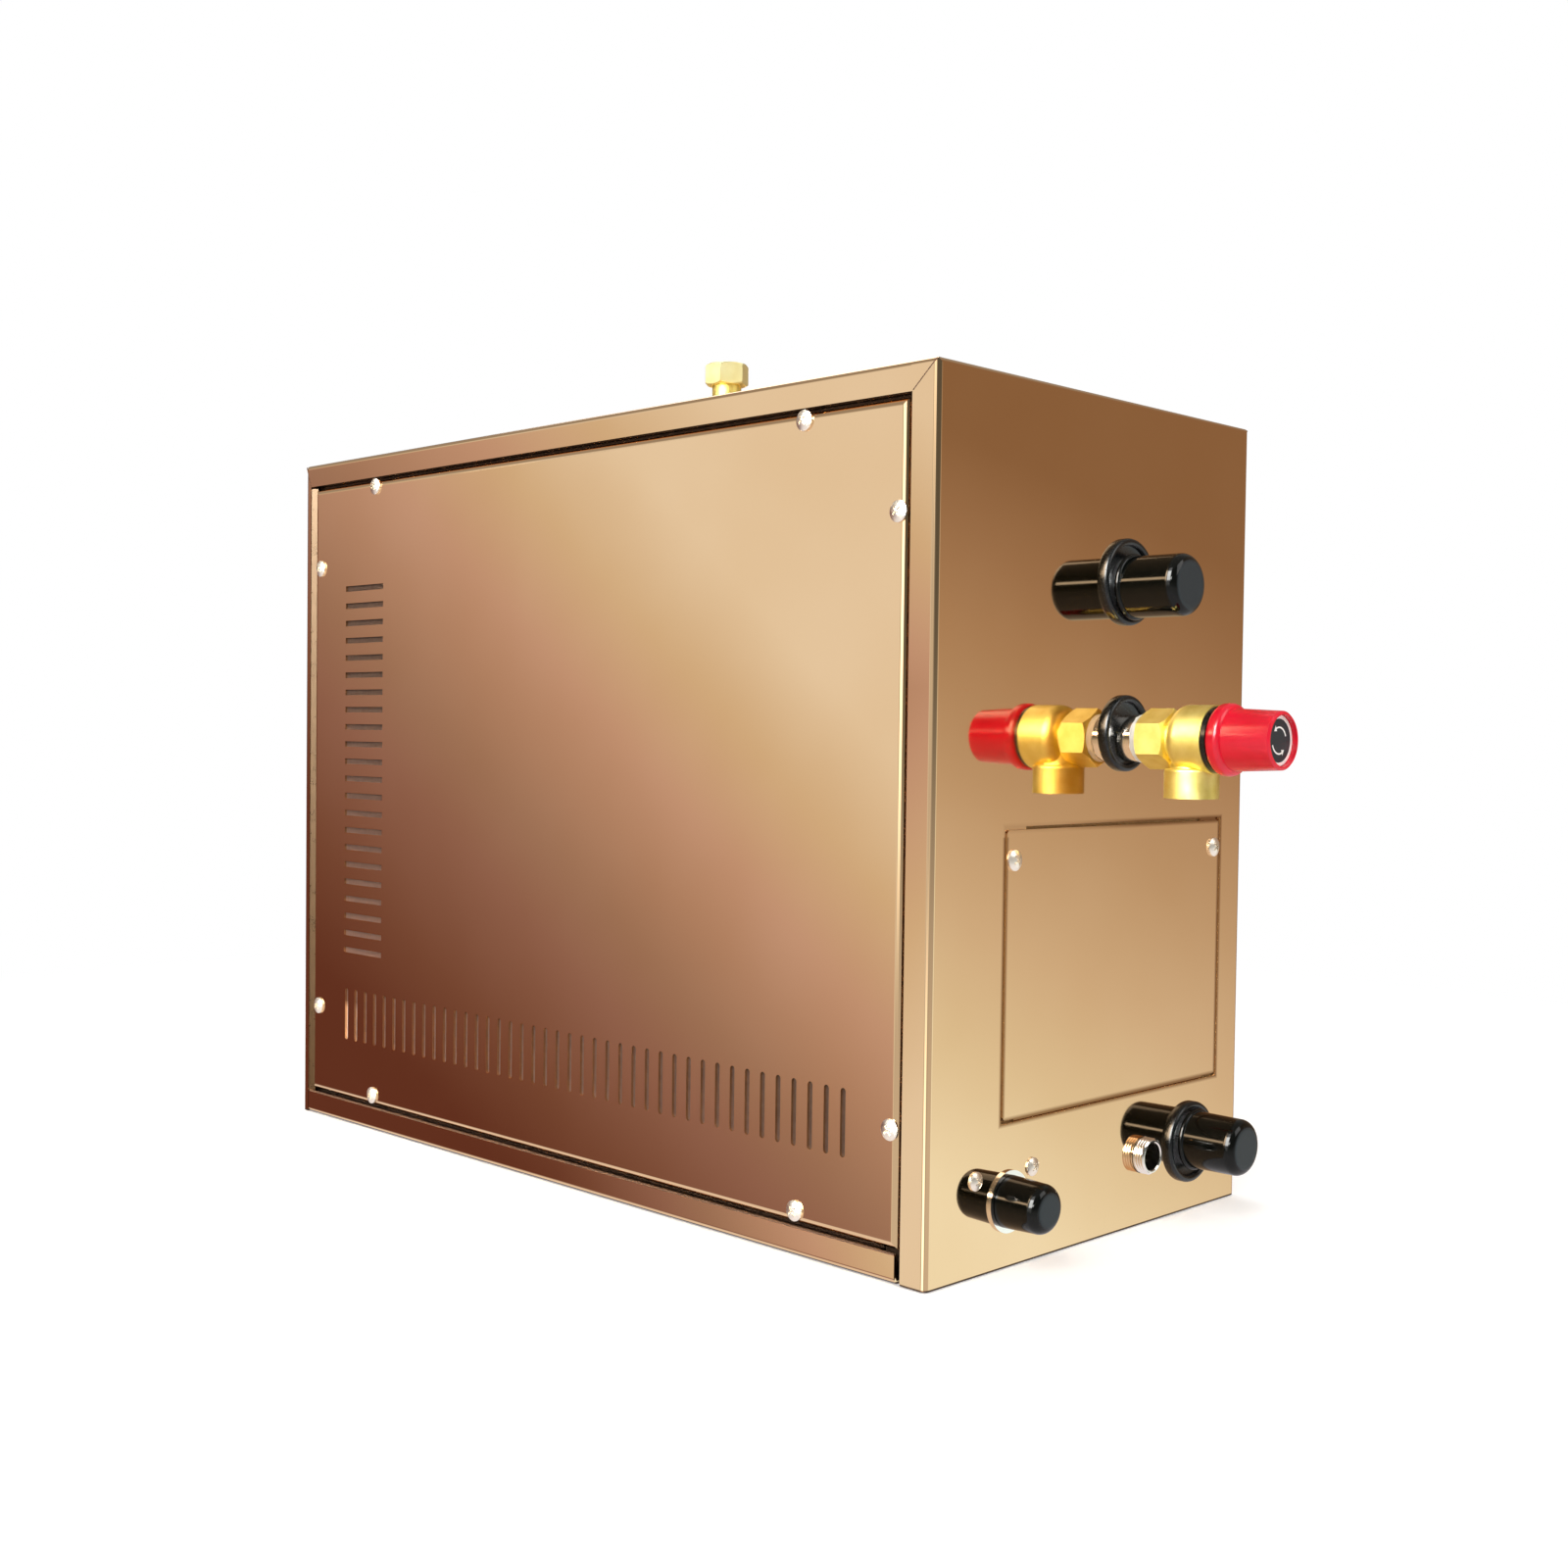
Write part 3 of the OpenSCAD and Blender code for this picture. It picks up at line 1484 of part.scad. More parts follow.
module board_parts() {
    color("whitesmoke") {
        for (i = [0 : relay_n - 1])
            translate([board_x - relay_d, board_y0 + board_in * 2 + i * relay_pitch, board_z1 - board_in * 2 - relay_h])
                cube([relay_d, relay_w, relay_h]);
        translate([board_x - strip_d, board_y0 + board_in * 2, board_z0 + board_in * 2])
            cube([strip_d, strip_l, strip_w]);
        for (i = [0 : 1])
            translate([board_x - cap_can_l, board_y1 - relay_pitch * (i + 1), (board_z0 + board_z1) / 2])
                along_x() cylinder(r = cap_can_r, h = cap_can_l);
    }
}

module transformer() {
    z = sheet_t + trafo_foot_t;
    color("dimgray") translate([trafo_x, trafo_y, 0]) {
        translate([-trafo_w / 2, -trafo_core_d / 2, z]) cube([trafo_w, trafo_core_d, trafo_h]);
        translate([-trafo_w / 2 + bobbin_in, -trafo_d / 2, z + bobbin_in])
            cube([trafo_w - 2 * bobbin_in, trafo_d, trafo_h - 2 * bobbin_in]);
        translate([-trafo_w / 2 - trafo_foot, -trafo_core_d / 2, sheet_t])
            cube([trafo_w + 2 * trafo_foot, trafo_core_d, trafo_foot_t]);
    }
}

// Component plate behind the access cover

module component_plate() {
    color("silver") {
        block([plate_x, plate_y0, plate_z0], [plate_x + plate_t, plate_y1, plate_z1]);
        for (y = [plate_y0, leg_y]) {
            block([plate_x, y, sheet_t], [plate_x + plate_t, y + leg_w, plate_z0]);
            block([plate_x - stand_foot, y, sheet_t], [plate_x + plate_t, y + leg_w, sheet_t + plate_t]);
        }
    }
}

face_x = plate_x + plate_t;

module terminal_block() {
    color("ivory") difference() {
        union() {
            block([face_x, block_y0, block_z],
                  [face_x + block_d, block_y0 + block_pole * block_poles, block_z + block_h]);
            block([face_x, block_y0, block_z - block_step],
                  [face_x + block_d / 2, block_y0 + block_pole * block_poles, block_z + block_h + block_step]);
        }
        for (i = [0 : block_poles - 1])
            for (z = [block_z + block_h / 4, block_z + block_h * 3 / 4])
                translate([face_x + block_d / 4, block_y0 + (i + 1 / 2) * block_pole, z]) along_x()
                    cylinder(r = block_hole_r, h = block_d);
    }
}

module contactor() {
    color("dimgray") difference() {
        union() {
            block([face_x, con_y, con_z], [face_x + con_base_d, con_y + con_w, con_z + con_h]);
            block([face_x, con_y, con_z + (con_h - con_top_h) / 2],
                  [face_x + con_base_d + con_top_d, con_y + con_w, con_z + (con_h + con_top_h) / 2]);
        }
        for (i = [0 : 2], z = [con_z - over, con_z + con_h - con_slot_h])
            block([face_x + con_base_d - con_slot_d, con_y + con_w * (i + 1 / 2) / 3 - con_slot_w / 2, z],
                  [face_x + con_base_d + over, con_y + con_w * (i + 1 / 2) / 3 + con_slot_w / 2,
                   z + con_slot_h + over]);
        block([arm_x1 - arm_pocket, con_y + con_w / 2 - arm_w / 2 - pass, con_z + con_h / 2 - arm_h / 2 - pass],
              [arm_x1 + over, con_y + con_w / 2 + arm_w / 2 + pass, con_z + con_h / 2 + arm_h / 2 + pass]);
    }
}

arm_x1 = face_x + con_base_d + con_top_d;

module contactor_armature() {
    color("whitesmoke")
        block([arm_x1 - arm_l, con_y + con_w / 2 - arm_w / 2, con_z + con_h / 2 - arm_h / 2],
              [arm_x1 + pass, con_y + con_w / 2 + arm_w / 2, con_z + con_h / 2 + arm_h / 2]);
}

module contactor_spring() {
    color("silver") translate([arm_x1 - arm_pocket, con_y + con_w / 2, con_z + con_h / 2]) along_x()
        helix(arm_spring_r, arm_spring_wire, arm_spring_turns, arm_pocket - arm_l - arm_travel - pass);
}

// High-limit thermostat

module thermostat() {
    color("black") difference() {
        union() {
            translate([tank_x1, limit_y, limit_z]) along_x() cylinder(r = limit_r, h = limit_l);
            block([tank_x1, limit_y - limit_foot_w / 2, limit_z - limit_r / 2],
                  [tank_x1 + limit_foot_t, limit_y + limit_foot_w / 2, limit_z + limit_r / 2]);
        }
        translate([tank_x1 + limit_l - button_l + button_out - button_travel - pass, limit_y, limit_z]) along_x()
            cylinder(r = button_r + run, h = button_l + over);
    }
}

module reset_button() {
    color("red") translate([tank_x1 + limit_l + button_out - button_l, limit_y, limit_z]) along_x()
        cylinder(r = button_r, h = button_l);
}

wrap();
base_pan();
side_panel();
back_panel();
access_cover();
casing_screws();
clamp_screws();
steam_grommet();
steam_pipe();
steam_cap();
valve_grommet();
relief_pipe();
seal_tape();
relief_body();
relief_stem();
relief_spring();
relief_bonnet();
relief_gasket();
relief_cap();
relief_cap_disc();
cable_conduit();
conduit_cap();
lock_nuts();
cable_clamp();
inlet_nipple();
inlet_valve_body();
inlet_coil();
inlet_plunger();
inlet_spring();
feed_pipe();
drain_grommet();
drain_outlet();
drain_cap();
drain_valve_body();
drain_coil();
drain_plunger();
drain_spring();
drain_pipe();
filler_stub();
top_plug();
tank();
insulation();
tank_stands();
heater_flange();
heater_gasket();
heater_bolts();
heater_elements();
level_chamber();
level_float();
partition();
control_board();
board_parts();
transformer();
component_plate();
terminal_block();
contactor();
contactor_armature();
contactor_spring();
thermostat();
reset_button();
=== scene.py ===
# %% [markdown]
# # A sauna steam generator in rose-gold mirror steel
# The steam generator is a box of coated mirror sheet. One end carries its fittings: the
# steam outlet, the safety valve with its red cap, the cable entry, the water inlet and
# the drain. The imported CAD model is the fixed frame. It gives every solid its place, and
# this lesson only adds the camera, the studio, the finishes and the small detail that
# is too fine for the solids. So the first cell loads the frame.

# %% Load the frame
import json
import math

import bmesh
import bpy
from mathutils import Matrix, Vector, noise


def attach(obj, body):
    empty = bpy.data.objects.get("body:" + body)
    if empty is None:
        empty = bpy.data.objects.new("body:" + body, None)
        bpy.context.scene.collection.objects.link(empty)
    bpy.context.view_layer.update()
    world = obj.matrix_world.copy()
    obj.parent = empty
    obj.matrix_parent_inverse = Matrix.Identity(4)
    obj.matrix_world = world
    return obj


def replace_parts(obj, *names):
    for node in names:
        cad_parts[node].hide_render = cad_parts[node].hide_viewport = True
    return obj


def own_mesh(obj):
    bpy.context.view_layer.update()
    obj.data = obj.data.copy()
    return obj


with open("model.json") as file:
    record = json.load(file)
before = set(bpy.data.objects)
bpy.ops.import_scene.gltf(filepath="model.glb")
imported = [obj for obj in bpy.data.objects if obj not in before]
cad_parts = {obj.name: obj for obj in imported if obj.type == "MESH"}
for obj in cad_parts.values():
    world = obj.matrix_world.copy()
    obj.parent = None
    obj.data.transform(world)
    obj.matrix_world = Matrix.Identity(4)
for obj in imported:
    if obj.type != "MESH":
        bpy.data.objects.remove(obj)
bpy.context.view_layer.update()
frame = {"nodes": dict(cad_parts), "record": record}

nodes = frame["nodes"]
slot_of = {row["node"]: row["material_slot"] for row in frame["record"]["subparts"]}
MM = 0.001

# %% [markdown]
# ## The camera
# The picture was taken from a little above half the height of the box, with the
# connection end and the side with the vents turned about equally. A camera is fitted
# from the corners of the box: they fix its place, its turn and how long its lens is.
# Some edges stay a few pixels off. The matrix is built from the direction that the
# camera looks away from, so that no tracking constraint is needed.

# %% Camera
AZIMUTH, ELEVATION, ROLL = (math.radians(a) for a in (44.847, 1.717, 0.7274))
back = Vector((math.sin(AZIMUTH) * math.cos(ELEVATION), -math.cos(AZIMUTH) * math.cos(ELEVATION),
               math.sin(ELEVATION)))
level = Vector((math.cos(AZIMUTH), math.sin(AZIMUTH), 0))
upward = back.cross(level)
right = level * math.cos(ROLL) + upward * math.sin(ROLL)
up = upward * math.cos(ROLL) - level * math.sin(ROLL)
camera = bpy.data.objects.new("camera", bpy.data.cameras.new("camera"))
camera.data.sensor_width, camera.data.lens = 36, 41.93
camera.data.clip_start, camera.data.clip_end = 0.01, 50
camera.matrix_world = Matrix((right, up, back)).transposed().to_4x4()
camera.location = (0.7285, -0.6922, 0.2322)
bpy.context.scene.collection.objects.link(camera)
bpy.context.scene.camera = camera
bpy.context.scene.view_settings.view_transform = "Standard"
print("camera at", [round(v, 3) for v in camera.location])

# %% [markdown]
# ## Colours and nodes
# A paint code from a picture is sRGB, while a shader works with light, so one function
# turns the first into the second. One more function adds a node with its settings and
# its links, which keeps every material below down to the lines that matter.

# %% Colour and node helpers
def linear(code):
    """The light of an sRGB hex colour, with its alpha of 1."""
    parts = [int(code[i:i + 2], 16) / 255 for i in (1, 3, 5)]
    return [c / 12.92 if c <= 0.04045 else ((c + 0.055) / 1.055) ** 2.4 for c in parts] + [1]


def add_node(tree, kind, settings=(), links=()):
    """Adds a node. Settings numbered or named for a socket set that; others set the node."""
    node = tree.nodes.new(kind)
    plain = {k: v for k, v in dict(settings).items() if isinstance(k, str) and k not in node.inputs}
    for name, value in plain.items():
        setattr(node, name, value)
    for name, value in dict(settings).items():
        if name not in plain:
            node.inputs[name].default_value = value
    for name, source in dict(links).items():
        tree.links.new(source, node.inputs[name])
    return node


def fill_ramp(node, stops):
    """Gives a colour ramp its stops: pairs of a place from 0 to 1 and a colour."""
    bar = node.color_ramp
    while len(bar.elements) < len(stops):
        bar.elements.new(1)
    for element, (place, colour) in zip(bar.elements, stops):
        element.position, element.color = place, colour
    return node


print("orange in light:", [round(v, 3) for v in linear("#FF8000")])

# %% [markdown]
# ## The studio
# Polished sheet has no colour of its own to show: it shows the room. This room is worked
# out backwards from how the sheet shades in the picture, so it is a guess that fits one
# view: two large soft screens that fall off across and down, a dark room behind the
# camera, and three softboxes, which draw the bright lines on the folds and the bright
# spots on the caps. The stops of the two screens' ramps are fifteen colours of the sheet
# in the picture, from dark to light. The world holds that room for reflected rays only,
# as a colour for each direction. What the camera sees past the object, and what light
# the object gets, stay plain white. A dot product with the direction is enough for it.

# %% World
COAT = "#E6C297"                      # the rose-gold coating, seen straight on in white light
DARKEST, SPAN = 40, 180               # the green level where a ramp starts, and how far it goes
DARK_ROOM, LIT_ROOM = (0.13, 0.13, 0.12, 1), (0.72, 0.71, 0.69, 1)    # high and low
CEILING, TABLE = (0.4, 0.37, 0.34, 1), (0.95, 0.9, 0.92, 1)
SOFTBOXES = (                         # azimuth, elevation, half width, half height, edge, light
    (-88, 18, 0.36, 0.375, 0.1, 2.4),       # the wide one, for the lines on the folds
    (-80, 29, 0.28, 0.28, 0.03, 30),        # the high one, for the spots on the caps' shoulders
    (-54, 19, 0.12, 0.06, 0.03, 22),        # the small one by the camera, for the caps' streaks
)
SOFTBOX_BLUE = 0.97                   # how blue a softbox is, against its red and green


def part_along(tree, slope):
    """The direction's part along slope."""
    return add_node(tree, "ShaderNodeVectorMath", {"operation": "DOT_PRODUCT", 1: slope},
                    {0: direction}).outputs["Value"]


def room_ramp(tree, slope, middle, stops):
    """A screen's light by direction. Slope and middle give the sheet's green level there."""
    share = add_node(tree, "ShaderNodeMath", {"operation": "MULTIPLY_ADD", 1: 1 / SPAN,
                                              2: (middle - DARKEST) / SPAN},
                     {0: part_along(tree, slope)})
    ramp = add_node(tree, "ShaderNodeValToRGB", {}, {0: share.outputs[0]})
    coat = linear(COAT)
    lights = [[a / b for a, b in zip(linear(code), coat)] for code in stops]
    return fill_ramp(ramp, [((int(code[3:5], 16) - DARKEST) / SPAN, light)
                            for code, light in zip(stops, lights)]).outputs["Color"]


def fade(tree, slope, start, end):
    """From 0 to 1 as the direction's part along slope goes from start to end."""
    return add_node(tree, "ShaderNodeMapRange",
                    {"interpolation_type": "SMOOTHSTEP", 1: start, 2: end},
                    {0: part_along(tree, slope)}).outputs[0]


def mix_colour(tree, share, first, second):
    """first where share is 0 and second where it is 1. Each is a socket or a colour."""
    node = add_node(tree, "ShaderNodeMix", {"data_type": "RGBA"}, {"Factor": share})
    for socket, value in ((node.inputs[6], first), (node.inputs[7], second)):
        if isinstance(value, bpy.types.NodeSocket):
            tree.links.new(value, socket)
        else:
            socket.default_value = value
    return node.outputs[2]


def softbox(tree, azimuth, elevation, half_wide, half_tall, edge):
    """1 in a rectangle of directions with soft edges. Azimuth runs from +X towards +Y."""
    turn = (Matrix.Rotation(math.radians(azimuth), 3, "Z")
            @ Matrix.Rotation(math.radians(-elevation), 3, "Y"))
    ahead, across, over = (turn @ Vector(axis) for axis in ((1, 0, 0), (0, 1, 0), (0, 0, 1)))
    share = fade(tree, ahead, 0.2, 0.4)
    for axis, half in ((across, half_wide), (-across, half_wide),
                       (over, half_tall), (-over, half_tall)):
        share = add_node(tree, "ShaderNodeMath", {"operation": "MULTIPLY"},
                         {0: share, 1: fade(tree, axis, -half - edge, -half + edge)}).outputs[0]
    return share


world = bpy.data.worlds.new("studio")
bpy.context.scene.world = world
world.use_nodes = True
room = world.node_tree
room.nodes.clear()
direction = add_node(room, "ShaderNodeTexCoord").outputs["Generated"]
left_screen = room_ramp(room, (227.7, -276.4, 324), 142.2,
                        ["#61301E", "#75452F", "#8E5E47", "#9C6F52",
                         "#B08060", "#C1906F", "#D0A87A", "#E3C299"])
right_screen = room_ramp(room, (122, -85.5, -292), 128.4,
                         ["#895D38", "#9A6D46", "#A97C52", "#BE9569",
                          "#CFA97C", "#DEBE8E", "#EED3A4"])
seen = mix_colour(room, fade(room, (-1, -1, 0), -0.3, 0.3), right_screen, left_screen)
behind = mix_colour(room, fade(room, (0, 0, -1), -0.1, 0.24), DARK_ROOM, LIT_ROOM)
for slope, start, end, colour in (((1, -1, 0), 0.25, 0.6, behind),        # behind the camera
                                  ((-0.3, 0, 1), 0.4, 0.7, CEILING),
                                  ((0, 0, -1), 0.28, 0.5, TABLE)):
    seen = mix_colour(room, fade(room, slope, start, end), seen, colour)
for *shape, light in SOFTBOXES:
    seen = mix_colour(room, softbox(room, *shape), seen, (light, light, light * SOFTBOX_BLUE, 1))
rays = add_node(room, "ShaderNodeLightPath")
white = add_node(room, "ShaderNodeBackground", {"Color": (1, 1, 1, 1), "Strength": 1})
soft = add_node(room, "ShaderNodeBackground", {"Color": (1, 0.99, 0.975, 1), "Strength": 0.75})
screens = add_node(room, "ShaderNodeBackground", {"Strength": 1}, {"Color": seen})
straight = add_node(room, "ShaderNodeMath", {"operation": "MAXIMUM"},
                    {0: rays.outputs["Is Camera Ray"], 1: rays.outputs["Is Transmission Ray"]})
mirrored = add_node(room, "ShaderNodeMixShader", {}, {0: rays.outputs["Is Glossy Ray"],
                                                      1: soft.outputs[0], 2: screens.outputs[0]})
either = add_node(room, "ShaderNodeMixShader", {}, {0: straight.outputs[0], 1: mirrored.outputs[0],
                                                    2: white.outputs[0]})
add_node(room, "ShaderNodeOutputWorld", {}, {"Surface": either.outputs[0]})
print("world nodes:", len(room.nodes))

# %% [markdown]
# ## Floor and lamps
# The floor is a plain pale sheet that goes past the camera's view and keeps the contact
# shadow. Mirrors look through it at the studio, whose lower half is the lit table.
# Three large soft lamps give the rubber, vinyl, red plastic and brass their highlights.
# They stand where the flat sheets don't mirror them into the picture's camera, but from
# other sides the sheets can show a bright patch.

# %% Floor and lamps
FLOOR_SIZE, FLOOR_DROP = 12, 0.2 * MM
PAPER, GLOW = 0.86, 0.26              # how white the sheet is, and what it gives of its own
FADE_START, FADE_END = 0.35, 0.95     # where it goes over into the plain white, in metres
sheet_mesh = bpy.data.meshes.new("floor")
build = bmesh.new()
bmesh.ops.create_grid(build, x_segments=1, y_segments=1, size=FLOOR_SIZE / 2)
bmesh.ops.translate(build, verts=build.verts, vec=(0, 0, -FLOOR_DROP))
build.to_mesh(sheet_mesh)
build.free()
floor = bpy.data.objects.new("floor", sheet_mesh)
bpy.context.scene.collection.objects.link(floor)
floor.visible_glossy = False
paper = bpy.data.materials.new("white_paper_sweep")
paper.use_nodes = True
tree = paper.node_tree
tree.nodes.clear()
matt = add_node(tree, "ShaderNodeBsdfDiffuse", {"Color": (PAPER, PAPER, PAPER, 1)})
glow = add_node(tree, "ShaderNodeEmission", {"Color": (1, 1, 1, 1), "Strength": GLOW})
rays = add_node(tree, "ShaderNodeLightPath")
lift = add_node(tree, "ShaderNodeAddShader", {}, {0: matt.outputs[0], 1: glow.outputs[0]})
place = add_node(tree, "ShaderNodeTexCoord").outputs["Object"]
away = add_node(tree, "ShaderNodeVectorMath", {"operation": "LENGTH"}, {0: place})
far = add_node(tree, "ShaderNodeMapRange",
               {"interpolation_type": "SMOOTHSTEP", 1: FADE_START, 2: FADE_END},
               {0: away.outputs["Value"]})
plain = add_node(tree, "ShaderNodeEmission", {"Color": (1, 1, 1, 1), "Strength": 1})
faded = add_node(tree, "ShaderNodeMixShader", {},
                 {0: far.outputs[0], 1: lift.outputs[0], 2: plain.outputs[0]})
shown = add_node(tree, "ShaderNodeMixShader", {},
                 {0: rays.outputs["Is Camera Ray"], 1: matt.outputs[0], 2: faded.outputs[0]})
add_node(tree, "ShaderNodeOutputMaterial", {}, {"Surface": shown.outputs[0]})
sheet_mesh.materials.append(paper)

AIM = Vector((0.1, 0, 0.2))
for name, place, size, watts in (("key", (0.65, -1.5, 1.7), 1.1, 16),
                                 ("fill", (1.7, 0.55, 1.3), 1.0, 9),
                                 ("rim", (-1.2, 0.9, 1.9), 1.2, 9)):
    lamp = bpy.data.lights.new(name, "AREA")
    lamp.size, lamp.energy = size, watts
    holder = bpy.data.objects.new(name, lamp)
    holder.location = place
    holder.rotation_euler = (Vector(place) - AIM).to_track_quat("Z", "Y").to_euler()
    bpy.context.scene.collection.objects.link(holder)
print("floor", FLOOR_SIZE, "m, lamps: 3")

# %% [markdown]
# ## Finishes
# Each finish is one material with its own name. Its base is the shader that all share,
# with numbers that are the same all over set on the shader's own sockets. Nodes come in
# only for what changes across the surface: grain, waves, dust of the polish, or threads.
# Patterns are laid out in real millimetres, in the piece's own coordinates.

# %% Material helpers
def finish(name, colour, roughness, metallic=0.0, **sockets):
    """A material with the shared shader, ready for its nodes."""
    material = bpy.data.materials.new(name)
    material.use_nodes = True
    shader = material.node_tree.nodes["Principled BSDF"]
    values = {"Base Color": linear(colour), "Roughness": roughness, "Metallic": metallic}
    values.update({key.replace("_", " "): value for key, value in sockets.items()})
    for key, value in values.items():
        shader.inputs[key].default_value = value
    material.diffuse_color = linear(colour)
    return material.node_tree, shader, material


def object_axes(tree):
    """The place in the piece's own coordinates, as three sockets."""
    place = add_node(tree, "ShaderNodeTexCoord").outputs["Object"]
    return add_node(tree, "ShaderNodeSeparateXYZ", {}, {0: place}).outputs


def grain(tree, millimetres, stretch=(1, 1, 1), detail=2.0):
    """A noise whose lumps are so many millimetres across, drawn out along an axis by stretch."""
    place = add_node(tree, "ShaderNodeTexCoord").outputs["Object"]
    laid = add_node(tree, "ShaderNodeMapping", {"Scale": [1 / s for s in stretch]},
                    {"Vector": place})
    return add_node(tree, "ShaderNodeTexNoise", {"Scale": 1 / (millimetres * MM), "Detail": detail},
                    {"Vector": laid.outputs[0]}).outputs[0]


def spread(tree, source, low, high, start=0.3, end=0.7):
    """Takes a pattern from start..end to low..high."""
    return add_node(tree, "ShaderNodeMapRange", {1: start, 2: end, 3: low, 4: high},
                    {0: source}).outputs[0]


def relief(tree, shader, source, depth_mm):
    """The pattern as small hills so many millimetres high."""
    bump = add_node(tree, "ShaderNodeBump", {"Strength": 1.0, "Distance": depth_mm * MM},
                    {"Height": source})
    tree.links.new(bump.outputs["Normal"], shader.inputs["Normal"])
    return bump


def tint(tree, shader, source, dark, light):
    """The base colour goes from dark to light with the pattern."""
    colour = mix_colour(tree, source, linear(dark), linear(light))
    tree.links.new(colour, shader.inputs["Base Color"])


finishes = {}
print("helpers ready")

# %% [markdown]
# ### Rose-gold mirror steel
# Stainless sheet is ground to a mirror and gets a coating a few thousandths of a
# millimetre thick, by vapour in a vacuum. The coating gives the colour and the mirror
# stays. So this is a full metal with hardly any roughness. Rolled sheet is never quite
# flat, which shows as a slow wave in what it mirrors, and wiping leaves faint haze.
# The narrow flanges round the long sides' openings shade as if they had sprung back after
# folding, and a mirror that leans shows another part of the room. So a lean is added to
# the normal by place, up to ten degrees on the end flange, though the solids' flanges
# are straight. How much is a guess. The coating is only on the outside: behind the outer
# skin, and where a face looks in towards the middle, the sheet is bare and dull, and its
# dark brown there is painted shade. Only the rims of the long sides' openings look in and
# are still coated. The lowest bend, which the box stands on, gets the same dark brown as
# painted contact shadow. Next to the access cover's slit the mirror is darkened by painted
# shade, and the cut edges in the slit are a plain tan without metal.

# %% Rose-gold mirror steel
MIDDLE_Z, HALF_X, HALF_Y, TOP_Z = 192.5 * MM, 245 * MM, 120 * MM, 385 * MM
SKIN = 3.6 * MM                       # a little more than the folds' radius
RIM_END_X = 230 * MM                  # how far the coated rims go towards the connection end
CONTACT_SHADE_Z = 1.0 * MM                    # the top of the lowest bend, which the box stands on
END_FLANGE_X, PLAIN_FLANGE_X = 230.2 * MM, -237 * MM    # where the upright flanges start
TOP_FLANGE_Z, UPSTAND_Z = 371.2 * MM, 13.3 * MM         # and the level ones
FACE_START, FACE_END = 119.2 * MM, 119.8 * MM           # the flanges' outer face
OTHER_LEAN = -0.072                   # the tangent of the top's and the plain end's lean


def calc(tree, operation, *values):
    """A maths node on sockets and numbers."""
    numbers = {i: v for i, v in enumerate(values) if not isinstance(v, bpy.types.NodeSocket)}
    sockets = {i: v for i, v in enumerate(values) if isinstance(v, bpy.types.NodeSocket)}
    return add_node(tree, "ShaderNodeMath", {"operation": operation, **numbers}, sockets).outputs[0]


def blend_value(tree, share, first, second):
    """first where share is 0 and second where it is 1, both numbers or sockets."""
    return calc(tree, "ADD", calc(tree, "MULTIPLY", calc(tree, "SUBTRACT", 1.0, share), first),
                calc(tree, "MULTIPLY", share, second))


tree, shader, finishes["rose_gold_steel"] = finish("rose_gold_mirror_steel", COAT, 0.045, 1.0)
spot = add_node(tree, "ShaderNodeTexCoord")
axes = add_node(tree, "ShaderNodeSeparateXYZ", {}, {0: spot.outputs["Object"]}).outputs
wide, deep = calc(tree, "ABSOLUTE", axes[0]), calc(tree, "ABSOLUTE", axes[1])
depth = calc(tree, "MINIMUM", calc(tree, "SUBTRACT", HALF_X, wide),
             calc(tree, "SUBTRACT", HALF_Y, deep))
depth = calc(tree, "MINIMUM", depth, calc(tree, "SUBTRACT", TOP_Z, axes[2]))
arm = add_node(tree, "ShaderNodeVectorMath", {"operation": "SUBTRACT", 1: (0, 0, MIDDLE_Z)},
               {0: spot.outputs["Object"]})
facing = add_node(tree, "ShaderNodeVectorMath", {"operation": "DOT_PRODUCT"},
                  {0: spot.outputs["Normal"], 1: arm.outputs[0]}).outputs["Value"]
bare_and_shaded = calc(tree, "MAXIMUM", calc(tree, "GREATER_THAN", depth, SKIN),
            calc(tree, "LESS_THAN", facing, 0.0))
ways = add_node(tree, "ShaderNodeSeparateXYZ", {}, {0: spot.outputs["Normal"]}).outputs
rim = calc(tree, "MULTIPLY", calc(tree, "LESS_THAN", calc(tree, "ABSOLUTE", ways[1]), 0.5),
           calc(tree, "GREATER_THAN", deep, HALF_Y - SKIN))
rim = calc(tree, "MULTIPLY", rim, calc(tree, "LESS_THAN", axes[0], RIM_END_X))
# Painted contact shadow: the lowest bend gets the dull dark brown below
contact_shade = calc(tree, "LESS_THAN", axes[2], CONTACT_SHADE_Z)
bare_and_shaded = calc(tree, "MULTIPLY", bare_and_shaded, calc(tree, "SUBTRACT", 1.0, rim))
bare_and_shaded = calc(tree, "MAXIMUM", bare_and_shaded, contact_shade)
# The lean of each flange, as the tangent of its angle: end flange, base upstand, the others
lean_end = spread(tree, axes[2], 0.18, -0.14, 0.02, 0.25)
lean_base = spread(tree, axes[0], 0.0, 0.11, 0.0, 0.23)
on_upstand = calc(tree, "LESS_THAN", axes[2], UPSTAND_Z)
on_end_flange = calc(tree, "GREATER_THAN", axes[0], END_FLANGE_X)
lean = blend_value(tree, on_upstand, OTHER_LEAN, lean_base)
lean = blend_value(tree, on_end_flange, lean, lean_end)
on_flange = calc(tree, "MAXIMUM", calc(tree, "GREATER_THAN", axes[2], TOP_FLANGE_Z), on_upstand)
on_flange = calc(tree, "MAXIMUM", on_flange, on_end_flange)
on_flange = calc(tree, "MAXIMUM", on_flange, calc(tree, "LESS_THAN", axes[0], PLAIN_FLANGE_X))
on_flange = calc(tree, "MULTIPLY", on_flange, spread(tree, deep, 0, 1, FACE_START, FACE_END))
leaning = add_node(tree, "ShaderNodeCombineXYZ", {}, {2: calc(tree, "MULTIPLY", lean, on_flange)})
upright = add_node(tree, "ShaderNodeNewGeometry").outputs["Normal"]
